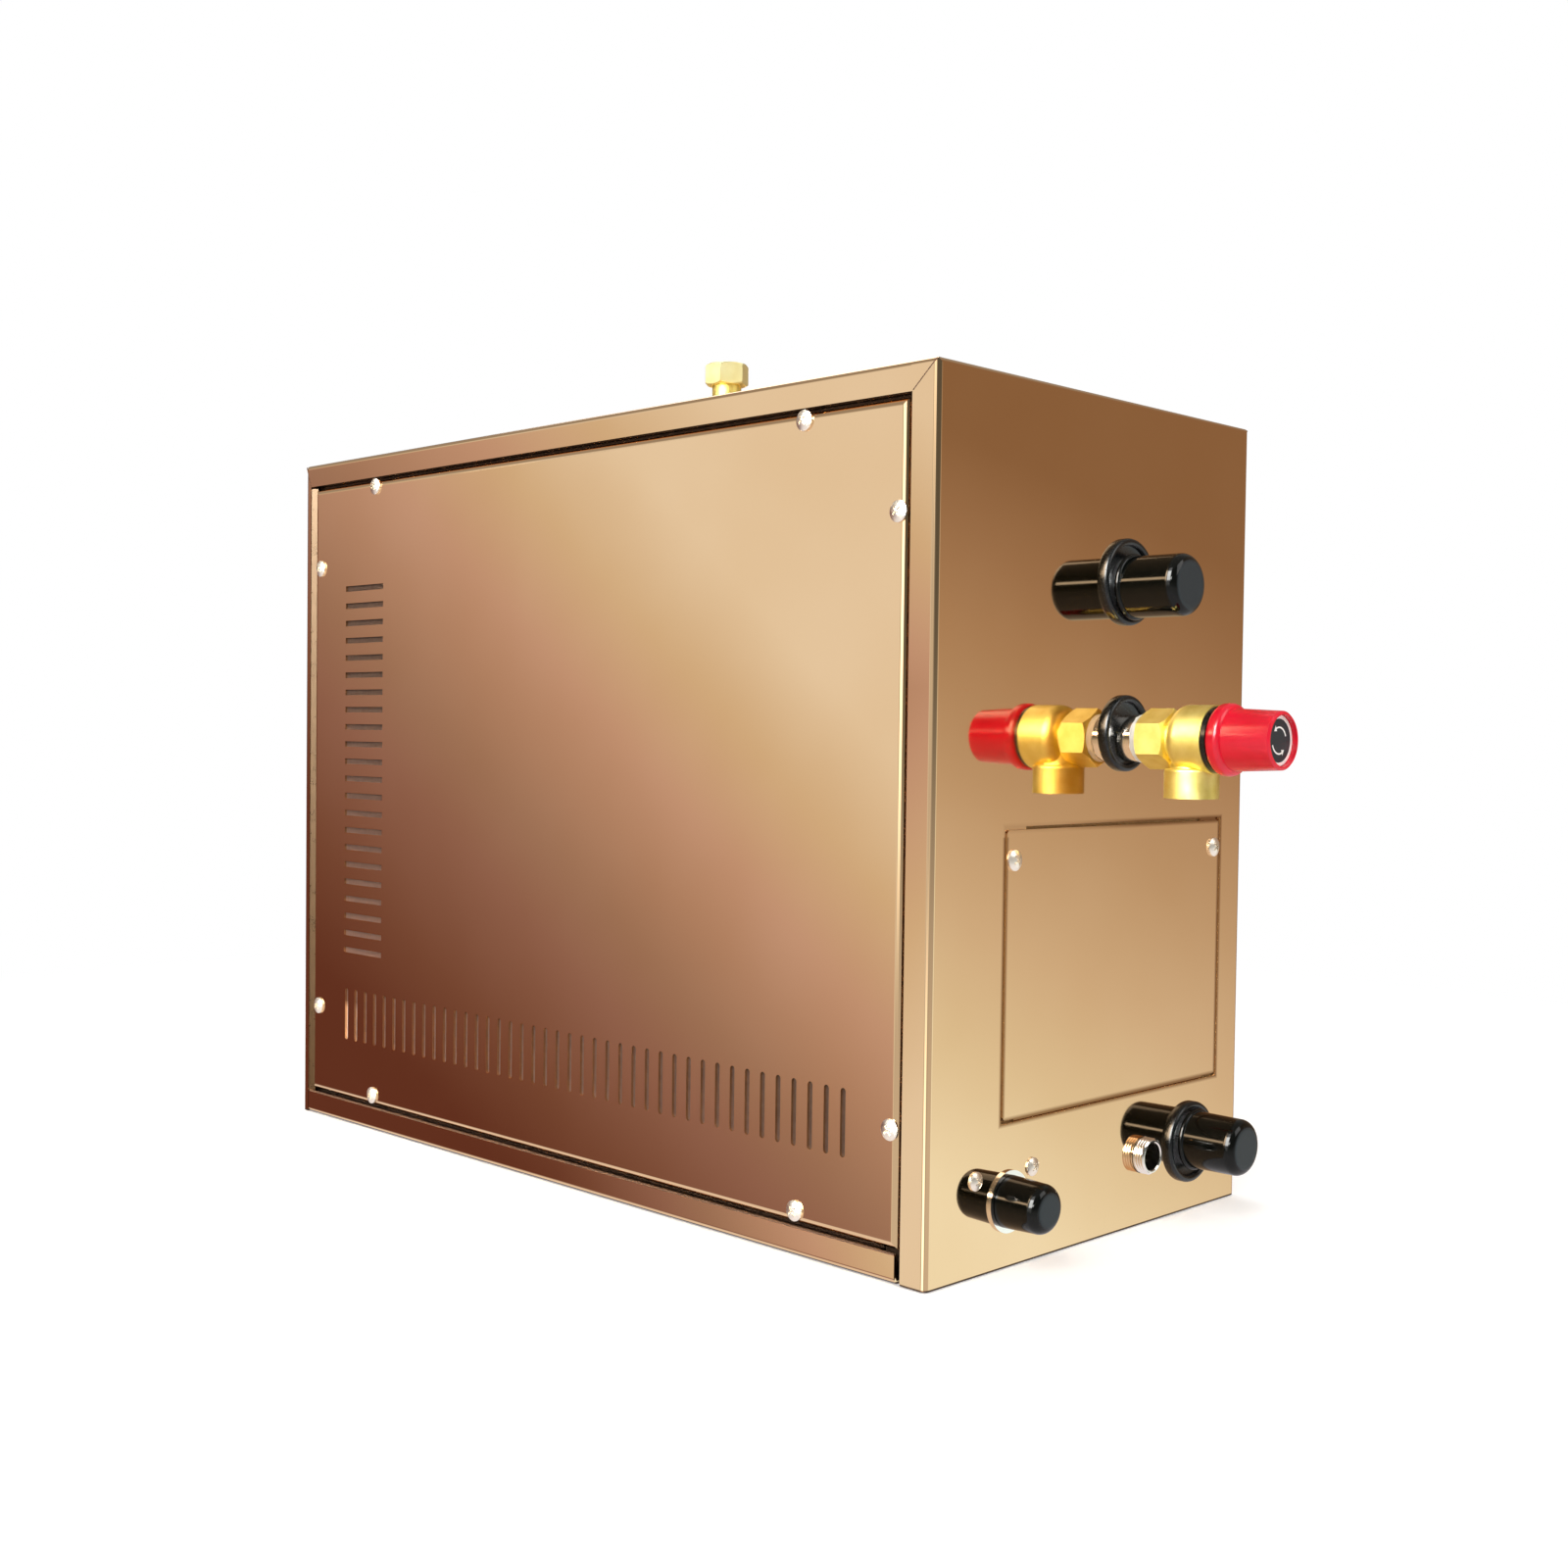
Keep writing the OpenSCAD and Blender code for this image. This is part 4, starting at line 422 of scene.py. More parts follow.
tilted = add_node(tree, "ShaderNodeVectorMath", {"operation": "ADD"},
                  {0: upright, 1: leaning.outputs[0]})
tilted = add_node(tree, "ShaderNodeVectorMath", {"operation": "NORMALIZE"},
                  {0: tilted.outputs[0]})
haze = spread(tree, grain(tree, 22, detail=5), 0.03, 0.06)
tree.links.new(blend_value(tree, bare_and_shaded, haze, 0.5), shader.inputs["Roughness"])
coated = mix_colour(tree, spread(tree, grain(tree, 90), 0, 1), linear("#E4BF93"), linear("#E8C59B"))
# Painted shade: the dark brown of the sheet behind the skin and on faces that look in
dull_painted_shade = mix_colour(tree, spread(tree, grain(tree, 6), 0, 1), linear("#4A3A2E"), linear("#5E4A3B"))
# How far a point is from the middle of the cover's slit, all round
COVER_Y, COVER_Z, COVER_HALF_W, COVER_HALF_H = 14.5 * MM, 127.25 * MM, 85.25 * MM, 63.5 * MM
# Painted shade beside the cover's slit: where it is full and where it has faded out
CUT_EDGE, SLIT_SHADE_START, SLIT_SHADE_END = 0.9 * MM, 0.8 * MM, 2.4 * MM
END_SHEET = 3 * MM                    # how deep the end sheet and its edges are
QUIET_Z, QUIET_SHARE = 187 * MM, 0.8  # the painted slit shade is weaker on the top edge towards -Y, and how much weaker


def beyond(tree, axis, middle, half):
    """How far a place on one axis is outside a span."""
    away = calc(tree, "ABSOLUTE", calc(tree, "SUBTRACT", axis, middle))
    return calc(tree, "SUBTRACT", away, half)


slit = calc(tree, "MAXIMUM", beyond(tree, axes[1], COVER_Y, COVER_HALF_W),
            beyond(tree, axes[2], COVER_Z, COVER_HALF_H))
slit = calc(tree, "ABSOLUTE", slit)
on_end = calc(tree, "GREATER_THAN", axes[0], HALF_X - END_SHEET)
# Painted shade along the slit on the end sheet, in the colour #85592F
painted_slit_shade = calc(tree, "MULTIPLY", spread(tree, slit, 0.9, 0, SLIT_SHADE_START, SLIT_SHADE_END), on_end)
quiet = calc(tree, "MULTIPLY", calc(tree, "GREATER_THAN", axes[2], QUIET_Z),
             spread(tree, axes[1], 1, 0, -0.03, 0.03))
quiet = calc(tree, "MULTIPLY", quiet, QUIET_SHARE)
painted_slit_shade = calc(tree, "MULTIPLY", painted_slit_shade, calc(tree, "SUBTRACT", 1.0, quiet))
coated = mix_colour(tree, painted_slit_shade, coated, linear("#85592F"))
cut = calc(tree, "MULTIPLY", calc(tree, "LESS_THAN", slit, CUT_EDGE), on_end)
cut = calc(tree, "MULTIPLY", cut, calc(tree, "LESS_THAN", calc(tree, "ABSOLUTE", ways[0]), 0.5))
painted = mix_colour(tree, bare_and_shaded, coated, dull_painted_shade)
tree.links.new(mix_colour(tree, cut, painted, linear("#C08F58")), shader.inputs["Base Color"])
tree.links.new(calc(tree, "SUBTRACT", 1.0, cut), shader.inputs["Metallic"])
wave = relief(tree, shader, grain(tree, 60, detail=1), 0.015)
tree.links.new(tilted.outputs[0], wave.inputs["Normal"])
print("rose gold:", COAT, "nodes:", len(tree.nodes))

# %% [markdown]
# ### Chrome plate, brass and stainless
# The pipe parts are chrome plated, with a trace of haze, and the screws are satin nickel.
# The valve body is cast brass that was tumbled bright: a satin metal with a fine pale
# skin, which spreads every light that it mirrors. Tank and pipes are plain stainless
# with the short scratches of the grinding belt.

# %% Chrome plate, brass and stainless
tree, shader, finishes["chrome_screws"] = finish("bright_chrome_plate", "#F1ECE4", 0.14, 1.0)
tree.links.new(spread(tree, grain(tree, 3, detail=4), 0.11, 0.18), shader.inputs["Roughness"])

tree, shader, finishes["screw_nickel"] = finish("satin_nickel_plate", "#FBF2E4", 0.38, 1.0)
tree.links.new(spread(tree, grain(tree, 2, detail=4), 0.34, 0.44), shader.inputs["Roughness"])

tree, shader, finishes["brass"] = finish("tumbled_cast_brass", "#F1DE7E", 0.44, 0.92)
rings = grain(tree, 0.6, stretch=(1, 3, 3), detail=3)
tree.links.new(spread(tree, rings, 0.38, 0.5), shader.inputs["Roughness"])
tint(tree, shader, spread(tree, grain(tree, 7, detail=4), 0, 1), "#E4CE6C", "#F4E38C")
relief(tree, shader, rings, 0.02)

# The top plug's brass is a paler, less metallic copy of the valve's: a painted reflection of
# brighter light
tree, shader, finishes["plug_brass"] = finish("bright_turned_brass", "#F0E8AC", 0.45, 0.75)
tint(tree, shader, spread(tree, grain(tree, 9), 0, 1), "#EAE09C", "#F6F0BE")

tree, shader, finishes["stainless"] = finish("ground_stainless", "#C6C7C8", 0.32, 1.0)
scratch = grain(tree, 0.5, stretch=(30, 1, 1), detail=4)
tree.links.new(spread(tree, scratch, 0.24, 0.42), shader.inputs["Roughness"])
tint(tree, shader, spread(tree, grain(tree, 40), 0, 1), "#B9BABC", "#CFD0D0")
relief(tree, shader, scratch, 0.006)

tree, shader, finishes["spring_steel"] = finish("drawn_spring_wire", "#8C8E91", 0.3, 1.0)
tree.links.new(spread(tree, grain(tree, 1.2, detail=3), 0.22, 0.38), shader.inputs["Roughness"])
print("metals:", len(finishes))

# %% [markdown]
# ### Rubber and dipped vinyl
# The grommets are moulded rubber: black, satin, with a fine skin. The push-on caps are
# dipped in liquid vinyl and cured, so their sides are deep black and glossy. The flat
# end, which lay on the rack and rubs against the box, is duller, and its greyer colour
# is a painted highlight of the light from the +X side.

# %% Rubber and vinyl
tree, shader, finishes["black_rubber"] = finish("satin_moulded_rubber", "#0C1012", 0.24,
                                                 Specular_IOR_Level=0.42)
skin = grain(tree, 0.5, detail=3)
tree.links.new(spread(tree, skin, 0.2, 0.3), shader.inputs["Roughness"])
tint(tree, shader, spread(tree, grain(tree, 9, detail=4), 0, 1), "#090C0E", "#0F1416")
relief(tree, shader, skin, 0.01)

tree, shader, finishes["black_vinyl"] = finish("glossy_dipped_vinyl", "#0B0E0B", 0.1,
                                                 Specular_IOR_Level=0.24)
WORN_ROUGHNESS = 0.42
facing = add_node(tree, "ShaderNodeTexCoord").outputs["Normal"]
facing = add_node(tree, "ShaderNodeSeparateXYZ", {}, {0: facing}).outputs
worn_and_lit = spread(tree, facing[0], 0, 1, 0.9, 0.995)          # the flat end faces along +X
peel = grain(tree, 6, detail=1)
tree.links.new(blend_value(tree, worn_and_lit, spread(tree, peel, 0.08, 0.13), WORN_ROUGHNESS),
               shader.inputs["Roughness"])
# Painted highlight: the flat end's greyer colour stands for the light from +X
tint(tree, shader, worn_and_lit, "#090B09", "#2B3236")
relief(tree, shader, peel, 0.008)
print("rubber and vinyl ready")

# %% [markdown]
# ### Red cap, sealing tape and plain plastics
# The cap of the safety valve is moulded red plastic with a hard gloss. The thread is
# sealed with thin white tape, wound on and torn off: soft, dull, with rucks along it.
# Inside are ivory and dark plastics, straight from polished moulds.

# %% Red plastic, tape and plastics
tree, shader, finishes["red_plastic"] = finish("glossy_red_plastic", "#DC0F2C", 0.2)
peel = grain(tree, 2.5, detail=2)
tree.links.new(spread(tree, peel, 0.16, 0.27), shader.inputs["Roughness"])
tint(tree, shader, spread(tree, grain(tree, 14, detail=2), 0, 1), "#D60C28", "#E21432")
relief(tree, shader, peel, 0.01)

tree, shader, finishes["seal_tape"] = finish("wound_sealing_tape", "#F0F0EC", 0.62,
                                               Subsurface_Weight=0.15)
rucks = grain(tree, 0.6, stretch=(1, 6, 6), detail=4)
tint(tree, shader, spread(tree, rucks, 0, 1), "#DADAD6", "#F8F8F5")
relief(tree, shader, rucks, 0.12)

tree, shader, finishes["white_plastic"] = finish("ivory_moulded_plastic", "#E8E5DA", 0.42)
skin = grain(tree, 0.8, detail=2)
tree.links.new(spread(tree, skin, 0.36, 0.5), shader.inputs["Roughness"])
tint(tree, shader, spread(tree, grain(tree, 20), 0, 1), "#E1DDD0", "#EEECE3")
relief(tree, shader, skin, 0.01)

tree, shader, finishes["dark_plastic"] = finish("dark_moulded_plastic", "#2B2C2F", 0.44)
skin = grain(tree, 0.7, detail=3)
tree.links.new(spread(tree, skin, 0.36, 0.54), shader.inputs["Roughness"])
tint(tree, shader, spread(tree, grain(tree, 15), 0, 1), "#242528", "#323438")
relief(tree, shader, skin, 0.015)
print("plastics ready")

# %% [markdown]
# ### Zinc plate, laminations, wool and board
# Dipped zinc freezes in flat crystals, a few millimetres wide, each with its own shine:
# a cell pattern gives that. A transformer's core is a pack of half-millimetre plates.
# Mineral wool is a felt of fine threads. A circuit board has a green mask, which
# lies a little higher where a copper track runs under it.

# %% Zinc plate, laminations, wool and board
CRYSTAL_MM, TRACK_MM = 5, 9
tree, shader, finishes["zinc_plate"] = finish("zinc_plated_sheet", "#B4B8BD", 0.36, 1.0)
place = add_node(tree, "ShaderNodeTexCoord").outputs["Object"]
cells = add_node(tree, "ShaderNodeTexVoronoi", {"Scale": 1 / (CRYSTAL_MM * MM)},
                 {"Vector": place}).outputs["Color"]
tree.links.new(spread(tree, cells, 0.28, 0.46, 0, 1), shader.inputs["Roughness"])
tint(tree, shader, cells, "#A6ABB1", "#C2C6CA")

tree, shader, finishes["core_steel"] = finish("varnished_laminations", "#4A4A4D", 0.38, 1.0)
PLATE_MM = 1.0                        # twice the real half millimetre, so that it shows
place = add_node(tree, "ShaderNodeTexCoord").outputs["Object"]
plates = add_node(tree, "ShaderNodeTexWave", {
    "Scale": 1 / (PLATE_MM * MM) / (2 * math.pi) * 2, "bands_direction": "Y", "Distortion": 0.3},
    {"Vector": place})
tint(tree, shader, plates.outputs["Fac"], "#3A3B3E", "#5A5A5C")
relief(tree, shader, plates.outputs["Fac"], 0.08)

tree, shader, finishes["wool"] = finish("needled_mineral_wool", "#BDAE83", 0.95)
threads = grain(tree, 1.5, stretch=(5, 5, 1), detail=8)
tint(tree, shader, spread(tree, threads, 0, 1), "#A3946A", "#D2C69F")
relief(tree, shader, threads, 0.6)

tree, shader, finishes["board"] = finish("green_solder_mask", "#17592F", 0.3)
place = add_node(tree, "ShaderNodeTexCoord").outputs["Object"]
tracks = add_node(tree, "ShaderNodeTexBrick", {
    "Scale": 1 / (TRACK_MM * MM), "Mortar Size": 0.07,
    "Color1": (0, 0, 0, 1), "Color2": (0.2, 0.2, 0.2, 1), "Mortar": (1, 1, 1, 1)})
laid = add_node(tree, "ShaderNodeMapping",
                {"Rotation": (math.radians(90), 0, math.radians(90))}, {"Vector": place})
tree.links.new(laid.outputs[0], tracks.inputs["Vector"])
tint(tree, shader, tracks.outputs["Color"], "#14502A", "#2C7C46")
relief(tree, shader, tracks.outputs["Color"], 0.05)
print("finishes:", sorted(finishes))

# %% [markdown]
# ## Dress the CAD nodes
# Every solid has the slot of its finish in the record, so a loop gives each node's
# mesh the material of that slot, but the screws and the top plug get a look of their own.
# The meshes themselves are not touched.

# %% Dress the nodes
LOOKS = {"casing_screws": "screw_nickel", "clamp_screws": "screw_nickel", "top_plug": "plug_brass"}
for name, node in nodes.items():
    node.data.materials.clear()
    node.data.materials.append(finishes[LOOKS.get(name, slot_of[name])])
print("dressed", len(nodes), "nodes")

# %% [markdown]
# ## Fine pieces round an axis
# Most of the small detail is turned: rings, threads and tape lie round an axis that runs
# straight out of the connection end. So a profile of radius against distance out is
# drawn once and spun round that axis. The spin can turn a shape inside out, so the
# normals are worked out again when it closes.

# %% Spin helper
END_X = 245 * MM                      # the outside of the connection end
STEAM_Y, RELIEF_Z = 15.7 * MM, 230 * MM


def keep(build, name, slot, body, smooth_angle=35, look=None):
    """Makes the mesh a piece that rides on its body, in its slot's finish or a look of its own."""
    mesh = bpy.data.meshes.new(name)
    open_edges = sum(len(edge.link_faces) != 2 for edge in build.edges)
    build.to_mesh(mesh)
    build.free()
    mesh.materials.append(finishes[look or slot])
    piece = bpy.data.objects.new(name, mesh)
    bpy.context.scene.collection.objects.link(piece)
    mesh.shade_smooth()
    mesh.set_sharp_from_angle(angle=math.radians(smooth_angle))
    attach(piece, body)
    print(name, len(mesh.polygons), "faces, open edges:", open_edges)
    return piece


def turn(build, profile, axis_y, axis_z, steps=96):
    """Spins a closed profile of (distance out, radius) in mm round the axis at y, z."""
    verts = [build.verts.new((END_X + e * MM, axis_y + r * MM, axis_z)) for e, r in profile]
    edges = [build.edges.new(pair) for pair in zip(verts, verts[1:] + verts[:1])]
    bmesh.ops.spin(build, geom=verts + edges, cent=(END_X, axis_y, axis_z), axis=(1, 0, 0),
                   angle=math.tau, steps=steps, use_merge=True)
    bmesh.ops.remove_doubles(build, verts=build.verts, dist=1e-6)
    bmesh.ops.recalc_face_normals(build, faces=build.faces)


print("end at x =", END_X)

# %% [markdown]
# ### Cupped grommets
# Each large pipe leaves the end through a moulded rubber grommet. Its front is a round
# lip with a shallow cup inside, its neck sits in the sheet's hole, and a second flange
# holds it from behind. The pipes hang a little out of the middle of their holes, so
# the inner edge is moved over to the pipe once the shape is spun.

# %% Grommets
LIP, NECK = 3.4, 3.05                 # how wide the lip is, and how far in the neck is cut


def grommet(name, node, axis_y, ring_z, ring_r, pipe_z, pipe_r):
    """A grommet with its ring's middle and radius and its pipe's, in mm."""
    build = bmesh.new()
    lip = [(0, ring_r), (1.6, ring_r), (2.4, ring_r - 0.3), (2.9, ring_r - 1),
           (3, ring_r - 1.7), (2.85, ring_r - 2.5), (2.3, ring_r - 3.1), (1.5, ring_r - LIP)]
    cup = [(0.9, ring_r - LIP - 0.2), (0.7, ring_r - LIP - 0.6), (0.7, pipe_r)]
    behind_sheet = [(-3.7, pipe_r), (-3.7, ring_r - 0.4), (-3.3, ring_r), (-1.2, ring_r)]
    neck = [(-1.2, ring_r - NECK), (0, ring_r - NECK)]
    turn(build, lip + cup + behind_sheet + neck, axis_y * MM, ring_z * MM)
    for vert in build.verts:
        if math.hypot(vert.co.y - axis_y * MM, vert.co.z - ring_z * MM) < (pipe_r + 0.02) * MM:
            vert.co.z += (pipe_z - ring_z) * MM
    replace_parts(keep(build, name, "black_rubber", "casing"), node)


grommet("steam_cup_grommet", "steam_grommet", 15.7, 301.8, 20, 299.3, 13.45)
grommet("valve_cup_grommet", "valve_grommet", 15.7, 232.3, 17.65, 230, 10.65)
grommet("drain_cup_grommet", "drain_grommet", 76.5, 33.8, 19.6, 35.4, 13)

# %% [markdown]
# ### The threaded water inlet
# The inlet is an open nipple with a pipe thread. The thread is one ridge that
# climbs 1.34 mm in each turn. A ridge is a three-cornered profile, spun with a step
# along the axis, and its two ends are closed. It sits on a plain tube whose mouth is
# chamfered inside and out, as a die-cut pipe's is.

# %% Threaded nipple
INLET_Y, INLET_Z = 37.3 * MM, 33.3 * MM
PITCH, THREAD_R, ROOT_R, BORE_R = 1.337, 8.6, 7.95, 6.5
NIPPLE_IN, NIPPLE_OUT, SHANK_R = -33, 6, 8.3
build = bmesh.new()
turn(build, [(NIPPLE_IN, BORE_R), (NIPPLE_OUT - 0.5, BORE_R), (NIPPLE_OUT, BORE_R + 0.5),
             (NIPPLE_OUT, ROOT_R - 0.35), (NIPPLE_OUT - 0.35, ROOT_R), (0.5, ROOT_R),
             (0.4, SHANK_R), (NIPPLE_IN, SHANK_R)], INLET_Y, INLET_Z)
TURNS, STEPS, THREAD_START = 3.7, 56, 0.7
ridge = ((-0.55, ROOT_R - 0.1), (-0.08, THREAD_R), (0.08, THREAD_R), (0.55, ROOT_R - 0.1))
corners = [build.verts.new((END_X + (THREAD_START + out) * MM, INLET_Y + r * MM, INLET_Z))
           for out, r in ridge]
first = build.faces.new(corners)
bmesh.ops.spin(build, geom=[first, *first.edges, *corners],
               cent=(END_X, INLET_Y, INLET_Z), axis=(1, 0, 0),
               dvec=(PITCH * MM / STEPS, 0, 0), angle=math.tau * TURNS, steps=int(TURNS * STEPS))
bmesh.ops.recalc_face_normals(build, faces=build.faces)
nipple = keep(build, "threaded_nipple", "chrome_screws", "casing")
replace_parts(nipple, "inlet_nipple")

# %% [markdown]
# ### The wound sealing tape
# White tape is wound on the thread before the valve is screwed on. What
# squeezes out is a rough collar with torn edges and rucks round it. The
# collar is spun from a lumpy profile, and its points are then pushed in and out by a
# noise that has no seed, so it comes out the same each time.

# %% Sealing tape
TAPE_IN, PIPE_R = 10.4, 10.66
LUMP_WIDE, LUMP_HIGH, DENT = 2.2, 0.22, -0.1    # rucks, and the most that they go in
TORN_WIDE, TORN_ALONG, TORN_DEEP, TORN_OUT = 3, 1.2, 0.6, 0.35
build = bmesh.new()
rise = [(0, 0.0), (0.1, 0.26), (0.5, 0.34), (0.9, 0.27), (1.3, 0.42), (1.7, 0.33),
        (2.1, 0.46), (2.6, 0.4), (2.95, 0.3), (3.04, 0.0)]
turn(build, [(TAPE_IN + e, PIPE_R + r) for e, r in rise], STEAM_Y, RELIEF_Z, steps=160)
for vert in build.verts:
    arm = Vector((0, vert.co.y - STEAM_Y, vert.co.z - RELIEF_Z))
    if arm.length > (PIPE_R + 0.05) * MM:
        lump = noise.noise(vert.co / (LUMP_WIDE * MM)) * LUMP_HIGH
        vert.co += arm.normalized() * max(lump, DENT) * MM
        edge = max(0, 1 - (vert.co.x - END_X - TAPE_IN * MM) / (TORN_ALONG * MM))
        tear = TORN_OUT + noise.noise(arm / (TORN_WIDE * MM) + Vector((7, 0, 0)))
        vert.co.x -= edge * tear * TORN_DEEP * MM
tape = keep(build, "wound_tape", "seal_tape", "casing", smooth_angle=60)
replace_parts(tape, "seal_tape")

# %% [markdown]
# ### The cap's white ring and turn arrows
# The black insert sits deep in the red cap and has a white ring printed along its edge.
# Turning the cap lifts the valve, and two curved arrows on the insert say which way. The
# marks are pads of paint, so they are thin closed slabs a tenth of a millimetre thick.

# %% Ring and arrows
DISC_END, PAINT, SUNK = 79.6, 0.12, 0.05     # the insert's face; marks stand out and are let in
RING_IN, RING_OUT = 9.5, 11.1
tree, shader, finishes["ring_paint"] = finish("white_pad_print", "#F2F0EA", 0.4)
flow = grain(tree, 0.6, detail=2)
tint(tree, shader, spread(tree, flow, 0, 1), "#E9E7E0", "#F8F7F3")
relief(tree, shader, flow, 0.01)

build = bmesh.new()
turn(build, [(DISC_END - SUNK, RING_IN), (DISC_END + PAINT, RING_IN + 0.05),
             (DISC_END + PAINT, RING_OUT - 0.05), (DISC_END - SUNK, RING_OUT)], STEAM_Y, RELIEF_Z)
keep(build, "cap_white_ring", "white_plastic", "relief_cap_body", look="ring_paint")

ARROW_IN, ARROW_OUT, ARROW_DEG, HEAD_LONG, HEAD_WIDE = 5.4, 6.1, 95, 2.1, 1.3
build = bmesh.new()
middle = (ARROW_IN + ARROW_OUT) / 2
lead = math.degrees(HEAD_LONG / middle)


def on_disc(radius, degrees, e):
    """A point on the insert's face, at a radius and an angle from +Y towards +Z."""
    a = math.radians(degrees)
    return (END_X + e * MM, STEAM_Y + radius * math.cos(a) * MM,
            RELIEF_Z + radius * math.sin(a) * MM)


def thicken(build, verts, way):
    """Makes a face of the points and pulls it out into a slab."""
    made = bmesh.ops.extrude_face_region(build, geom=[build.faces.new(verts)])["geom"]
    bmesh.ops.translate(build, verts=[v for v in made if isinstance(v, bmesh.types.BMVert)],
                        vec=way)


for begin in (20, 200):
    corners = ((ARROW_IN, -SUNK), (ARROW_OUT, -SUNK), (ARROW_OUT, PAINT), (ARROW_IN, PAINT))
    verts = [build.verts.new(on_disc(r, begin, DISC_END + e)) for r, e in corners]
    face = build.faces.new(verts)
    bmesh.ops.spin(build, geom=[face, *face.edges, *verts], cent=(END_X, STEAM_Y, RELIEF_Z),
                   axis=(1, 0, 0), angle=math.radians(ARROW_DEG), steps=24)
    end = begin + ARROW_DEG
    verts = [build.verts.new(on_disc(r, a, DISC_END - SUNK)) for r, a in
             ((middle - HEAD_WIDE, end), (middle + HEAD_WIDE, end), (middle, end + lead))]
    thicken(build, verts, ((PAINT + SUNK) * MM, 0, 0))
bmesh.ops.recalc_face_normals(build, faces=build.faces)
keep(build, "cap_turn_arrows", "white_plastic", "relief_cap_body", look="ring_paint")

# %% [markdown]
# ### The mitre seams
# At each corner of the long sides the top's flange meets the end's flange in a mitre. The
# slit between them is a few tenths of a millimetre, darker than the sheet. It is drawn
# as a thin bar along the slit, let into the sheet but for a hair.

# %% Mitre seams
tree, shader, finishes["slit_shade"] = finish("shaded_slit", "#52361F", 0.5)
dust = grain(tree, 2, detail=3)
tint(tree, shader, spread(tree, dust, 0, 1), "#442B19", "#604028")
SEAM_W, SEAM_PROUD, SEAM_DEEP, SIDE_Y = 0.5, 0.03, 0.3, 120
build = bmesh.new()
for (x0, z0), (x1, z1) in (((231.3, 372.4), (244.1, 384.1)), ((-239.6, 372.6), (-244.4, 384.1))):
    for side in (-1, 1):
        run = Vector((x1 - x0, 0, z1 - z0))
        turned = Matrix.Rotation(-math.atan2(run.z, run.x), 4, "Y")
        middle = Vector(((x0 + x1) / 2, side * (SIDE_Y + (SEAM_PROUD - SEAM_DEEP) / 2),
                         (z0 + z1) / 2))
        size = Matrix.Diagonal((run.length, SEAM_DEEP + SEAM_PROUD, SEAM_W, 1))
        place = Matrix.Translation(middle * MM) @ turned @ size
        bmesh.ops.create_cube(build, size=MM, matrix=place)
keep(build, "mitre_seams", "rose_gold_steel", "casing", look="slit_shade")

# %% [markdown]
# ### Strips behind the cover, screens behind the vents, trims in the slits
# The picture shows a brown line in the slit round the access cover, a tone behind the
# slots that is lighter at the far bottom corner, a satin line in the upright slit at the
# far end of the panel and a dull line on the upstand. It doesn't show what makes them,
# so these pieces are guesses: a felt strip that keeps the cover from rattling, a woven
# screen that keeps dust out, a slanting trim that catches the softbox, and a bead.

# %% Strips and screens
def plate(build, low, high):
    """A box between two corners in mm."""
    low, high = Vector(low), Vector(high)
    place = Matrix.Translation((low + high) / 2 * MM) @ Matrix.Diagonal((*(high - low), 1))
    bmesh.ops.create_cube(build, size=MM, matrix=place)


tree, shader, finishes["felt"] = finish("brown_pressed_felt", "#B98A55", 0.9)
hairs = grain(tree, 0.7, detail=6)
tint(tree, shader, spread(tree, hairs, 0, 1), "#A87A48", "#C99A62")
relief(tree, shader, hairs, 0.05)
build = bmesh.new()
FELT_IN, FELT_OUT = 241.8, 242.5
for y0, z0, y1, z1 in ((-73, 66, -68.5, 188), (98, 66, 102, 188), (-73, 188, 102, 194),
                       (-73, 61, -60, 66), (89, 61, 102, 66)):
    plate(build, (FELT_IN, y0, z0), (FELT_OUT, y1, z1))
keep(build, "cover_felt_strips", "black_rubber", "casing", look="felt")

tree, shader, finishes["dust_screen"] = finish("woven_dust_screen", "#6A4C3A", 0.8)
place = object_axes(tree)
along = calc(tree, "ADD", place[0], calc(tree, "MULTIPLY", place[2], 2.0))
weave = grain(tree, 0.8, stretch=(1, 1, 3), detail=2)
# The screen's brown is painted shade behind the slots: darker towards the top and the connection
# end, with a pale patch at the far bottom corner
plain = mix_colour(tree, spread(tree, along, 0, 1, -0.08, 0.32),
                   linear("#76574A"), linear("#3A2414"))
corner = calc(tree, "MULTIPLY", spread(tree, place[0], 1, 0, -0.195, -0.186),
              spread(tree, place[2], 1, 0, 0.066, 0.071))
tree.links.new(mix_colour(tree, corner, plain, linear("#F2D2BC")), shader.inputs["Base Color"])
relief(tree, shader, weave, 0.1)
tree.links.new(spread(tree, weave, 0.7, 0.9), shader.inputs["Roughness"])
build = bmesh.new()
SCREEN_OUT, SCREEN_IN = -118.7, -118.2
plate(build, (-206, SCREEN_OUT, 95), (-156, SCREEN_IN, 317))
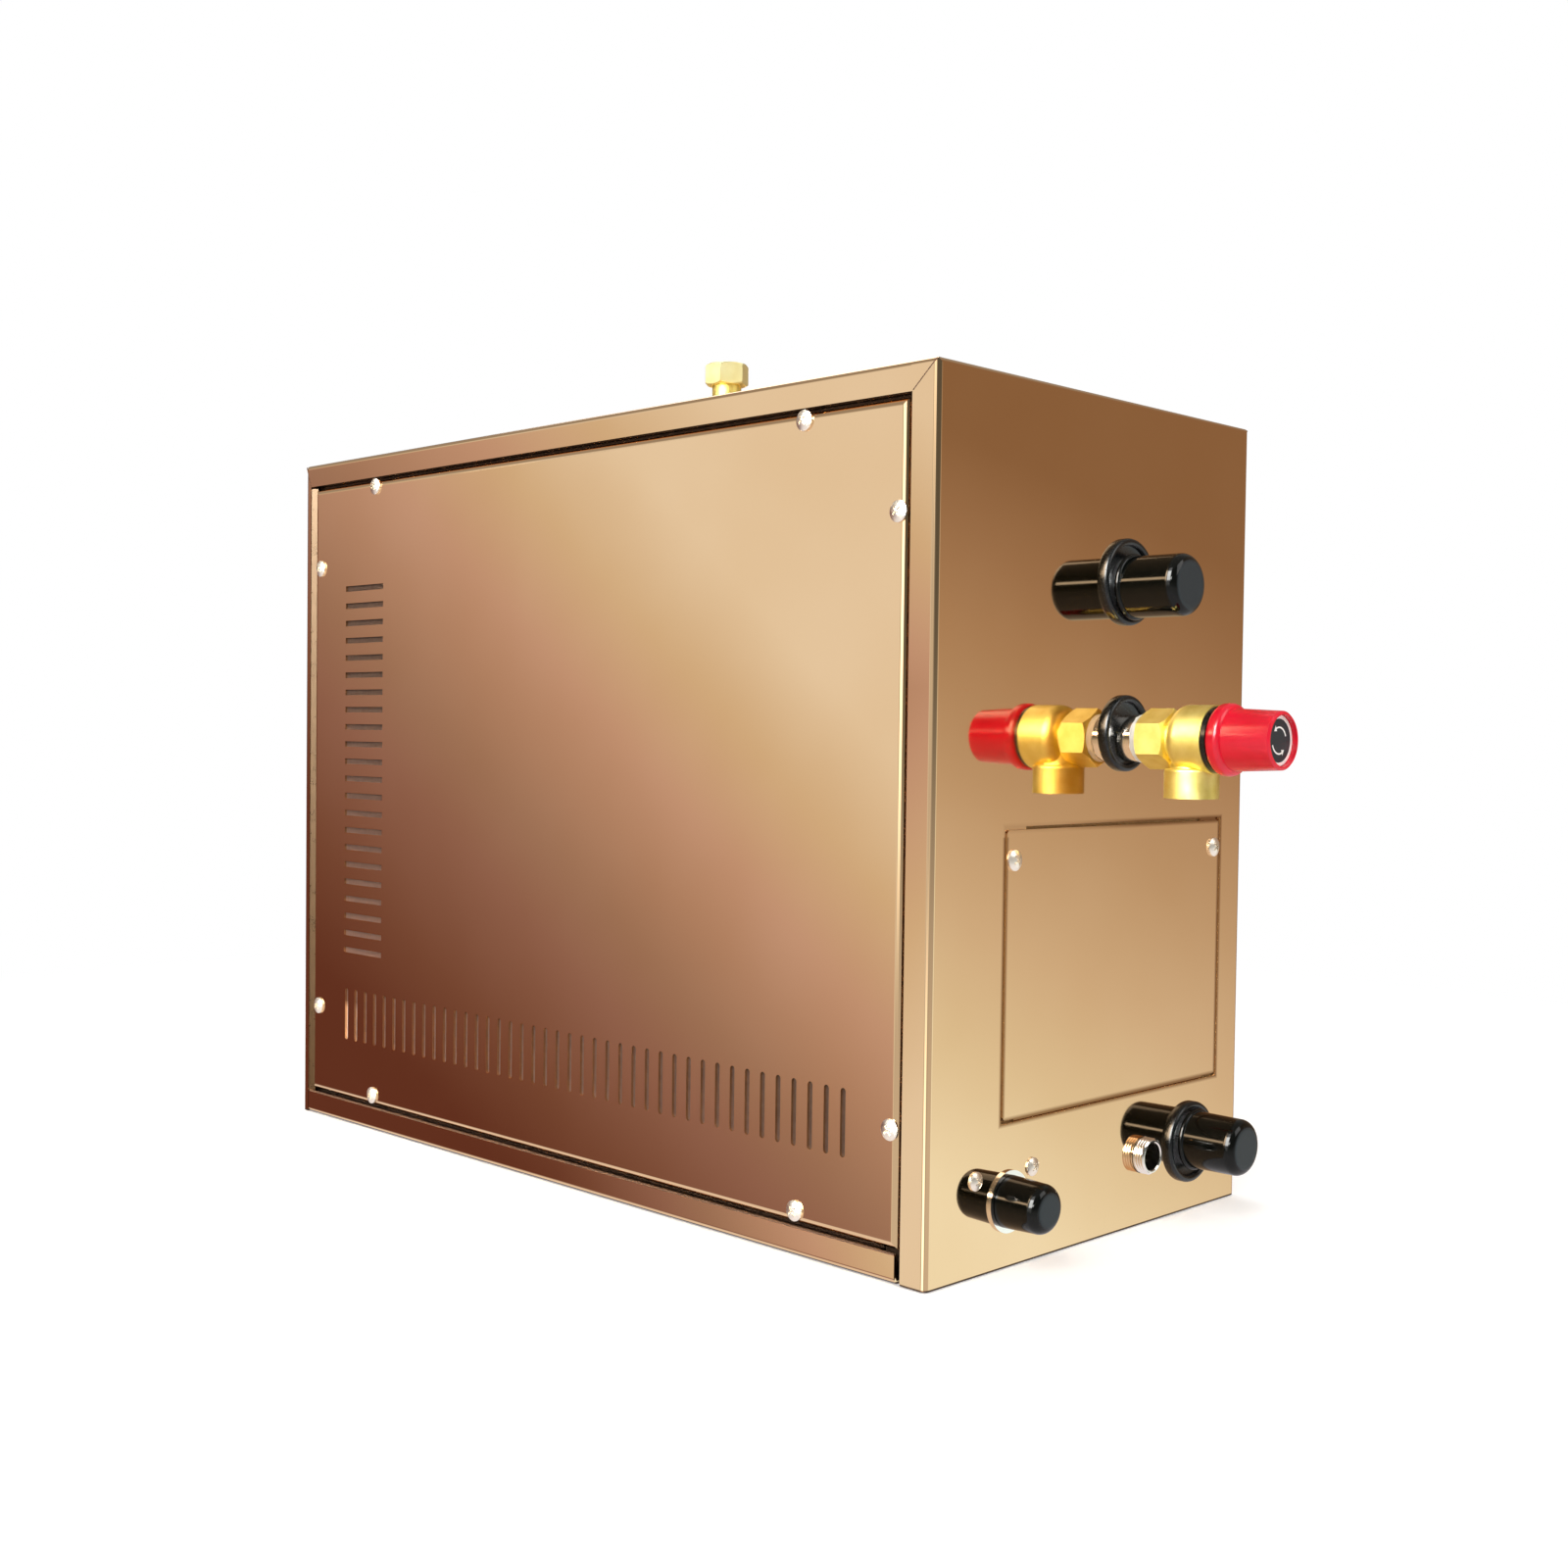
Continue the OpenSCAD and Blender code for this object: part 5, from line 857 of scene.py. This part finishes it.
plate(build, (-206, SCREEN_OUT, 44), (202, SCREEN_IN, 83))
keep(build, "vent_screens", "wool", "casing", look="dust_screen")

tree, shader, finishes["satin_trim"] = finish("satin_rose_trim", "#5E5042", 0.3, 1.0)
# Painted shade: the trim's colour is darker towards the bottom
tint(tree, shader, spread(tree, object_axes(tree)[2], 0, 1, 0.02, 0.37), "#624A33", "#74614E")
tree.links.new(spread(tree, grain(tree, 4, detail=3), 0.26, 0.34), shader.inputs["Roughness"])
TRIM_FOOT, TRIM_LONG = 13, 358
build = bmesh.new()
for side in (-1, 1):
    verts = [build.verts.new((x * MM, side * y * MM, TRIM_FOOT * MM)) for x, y in
             ((-239.3, 119.6), (-235.6, 117.6), (-235.6, 117.4), (-239.3, 119.3))]
    thicken(build, verts, (0, 0, TRIM_LONG * MM))
bmesh.ops.recalc_face_normals(build, faces=build.faces)
keep(build, "slit_trims", "rose_gold_steel", "casing", look="satin_trim")

tree, shader, finishes["dull_bead"] = finish("dull_rolled_edge", "#7C5C46", 0.5, 0.3)
tint(tree, shader, spread(tree, grain(tree, 12, detail=3), 0, 1), "#72543F", "#86654E")
BEAD_Y, BEAD_HALF = 119.4, 0.5
build = bmesh.new()
for side in (-1, 1):
    middle = side * BEAD_Y
    plate(build, (-238.5, middle - BEAD_HALF, 12.2), (227.5, middle + BEAD_HALF, 13))
keep(build, "upstand_beads", "rose_gold_steel", "casing", look="dull_bead")

# %% [markdown]
# ### Spring copies
# When a valve's plunger or the safety valve's stem lifts, the spring behind it is pushed
# together. These three springs are copies of the solids, each with a mesh of its own, that
# ride on the casing in the solids' place; the loop lists each one's joint, axis and travel,
# but nothing here flattens them. The contactor's spring stays rigid.

# %% Springs
for node, joint, axis, travel in (("inlet_spring", "inlet_plunger_lift", (0, 0, 1), 2),
                                  ("drain_spring", "drain_plunger_lift", (0, 0, 1), 2),
                                  ("relief_spring", "relief_stem_lift", (1, 0, 0), 2.5)):
    spring = bpy.data.objects.new(node + "_coil", nodes[node].data.copy())
    bpy.context.scene.collection.objects.link(spring)
    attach(spring, "casing")
    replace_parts(spring, node)
    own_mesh(spring)
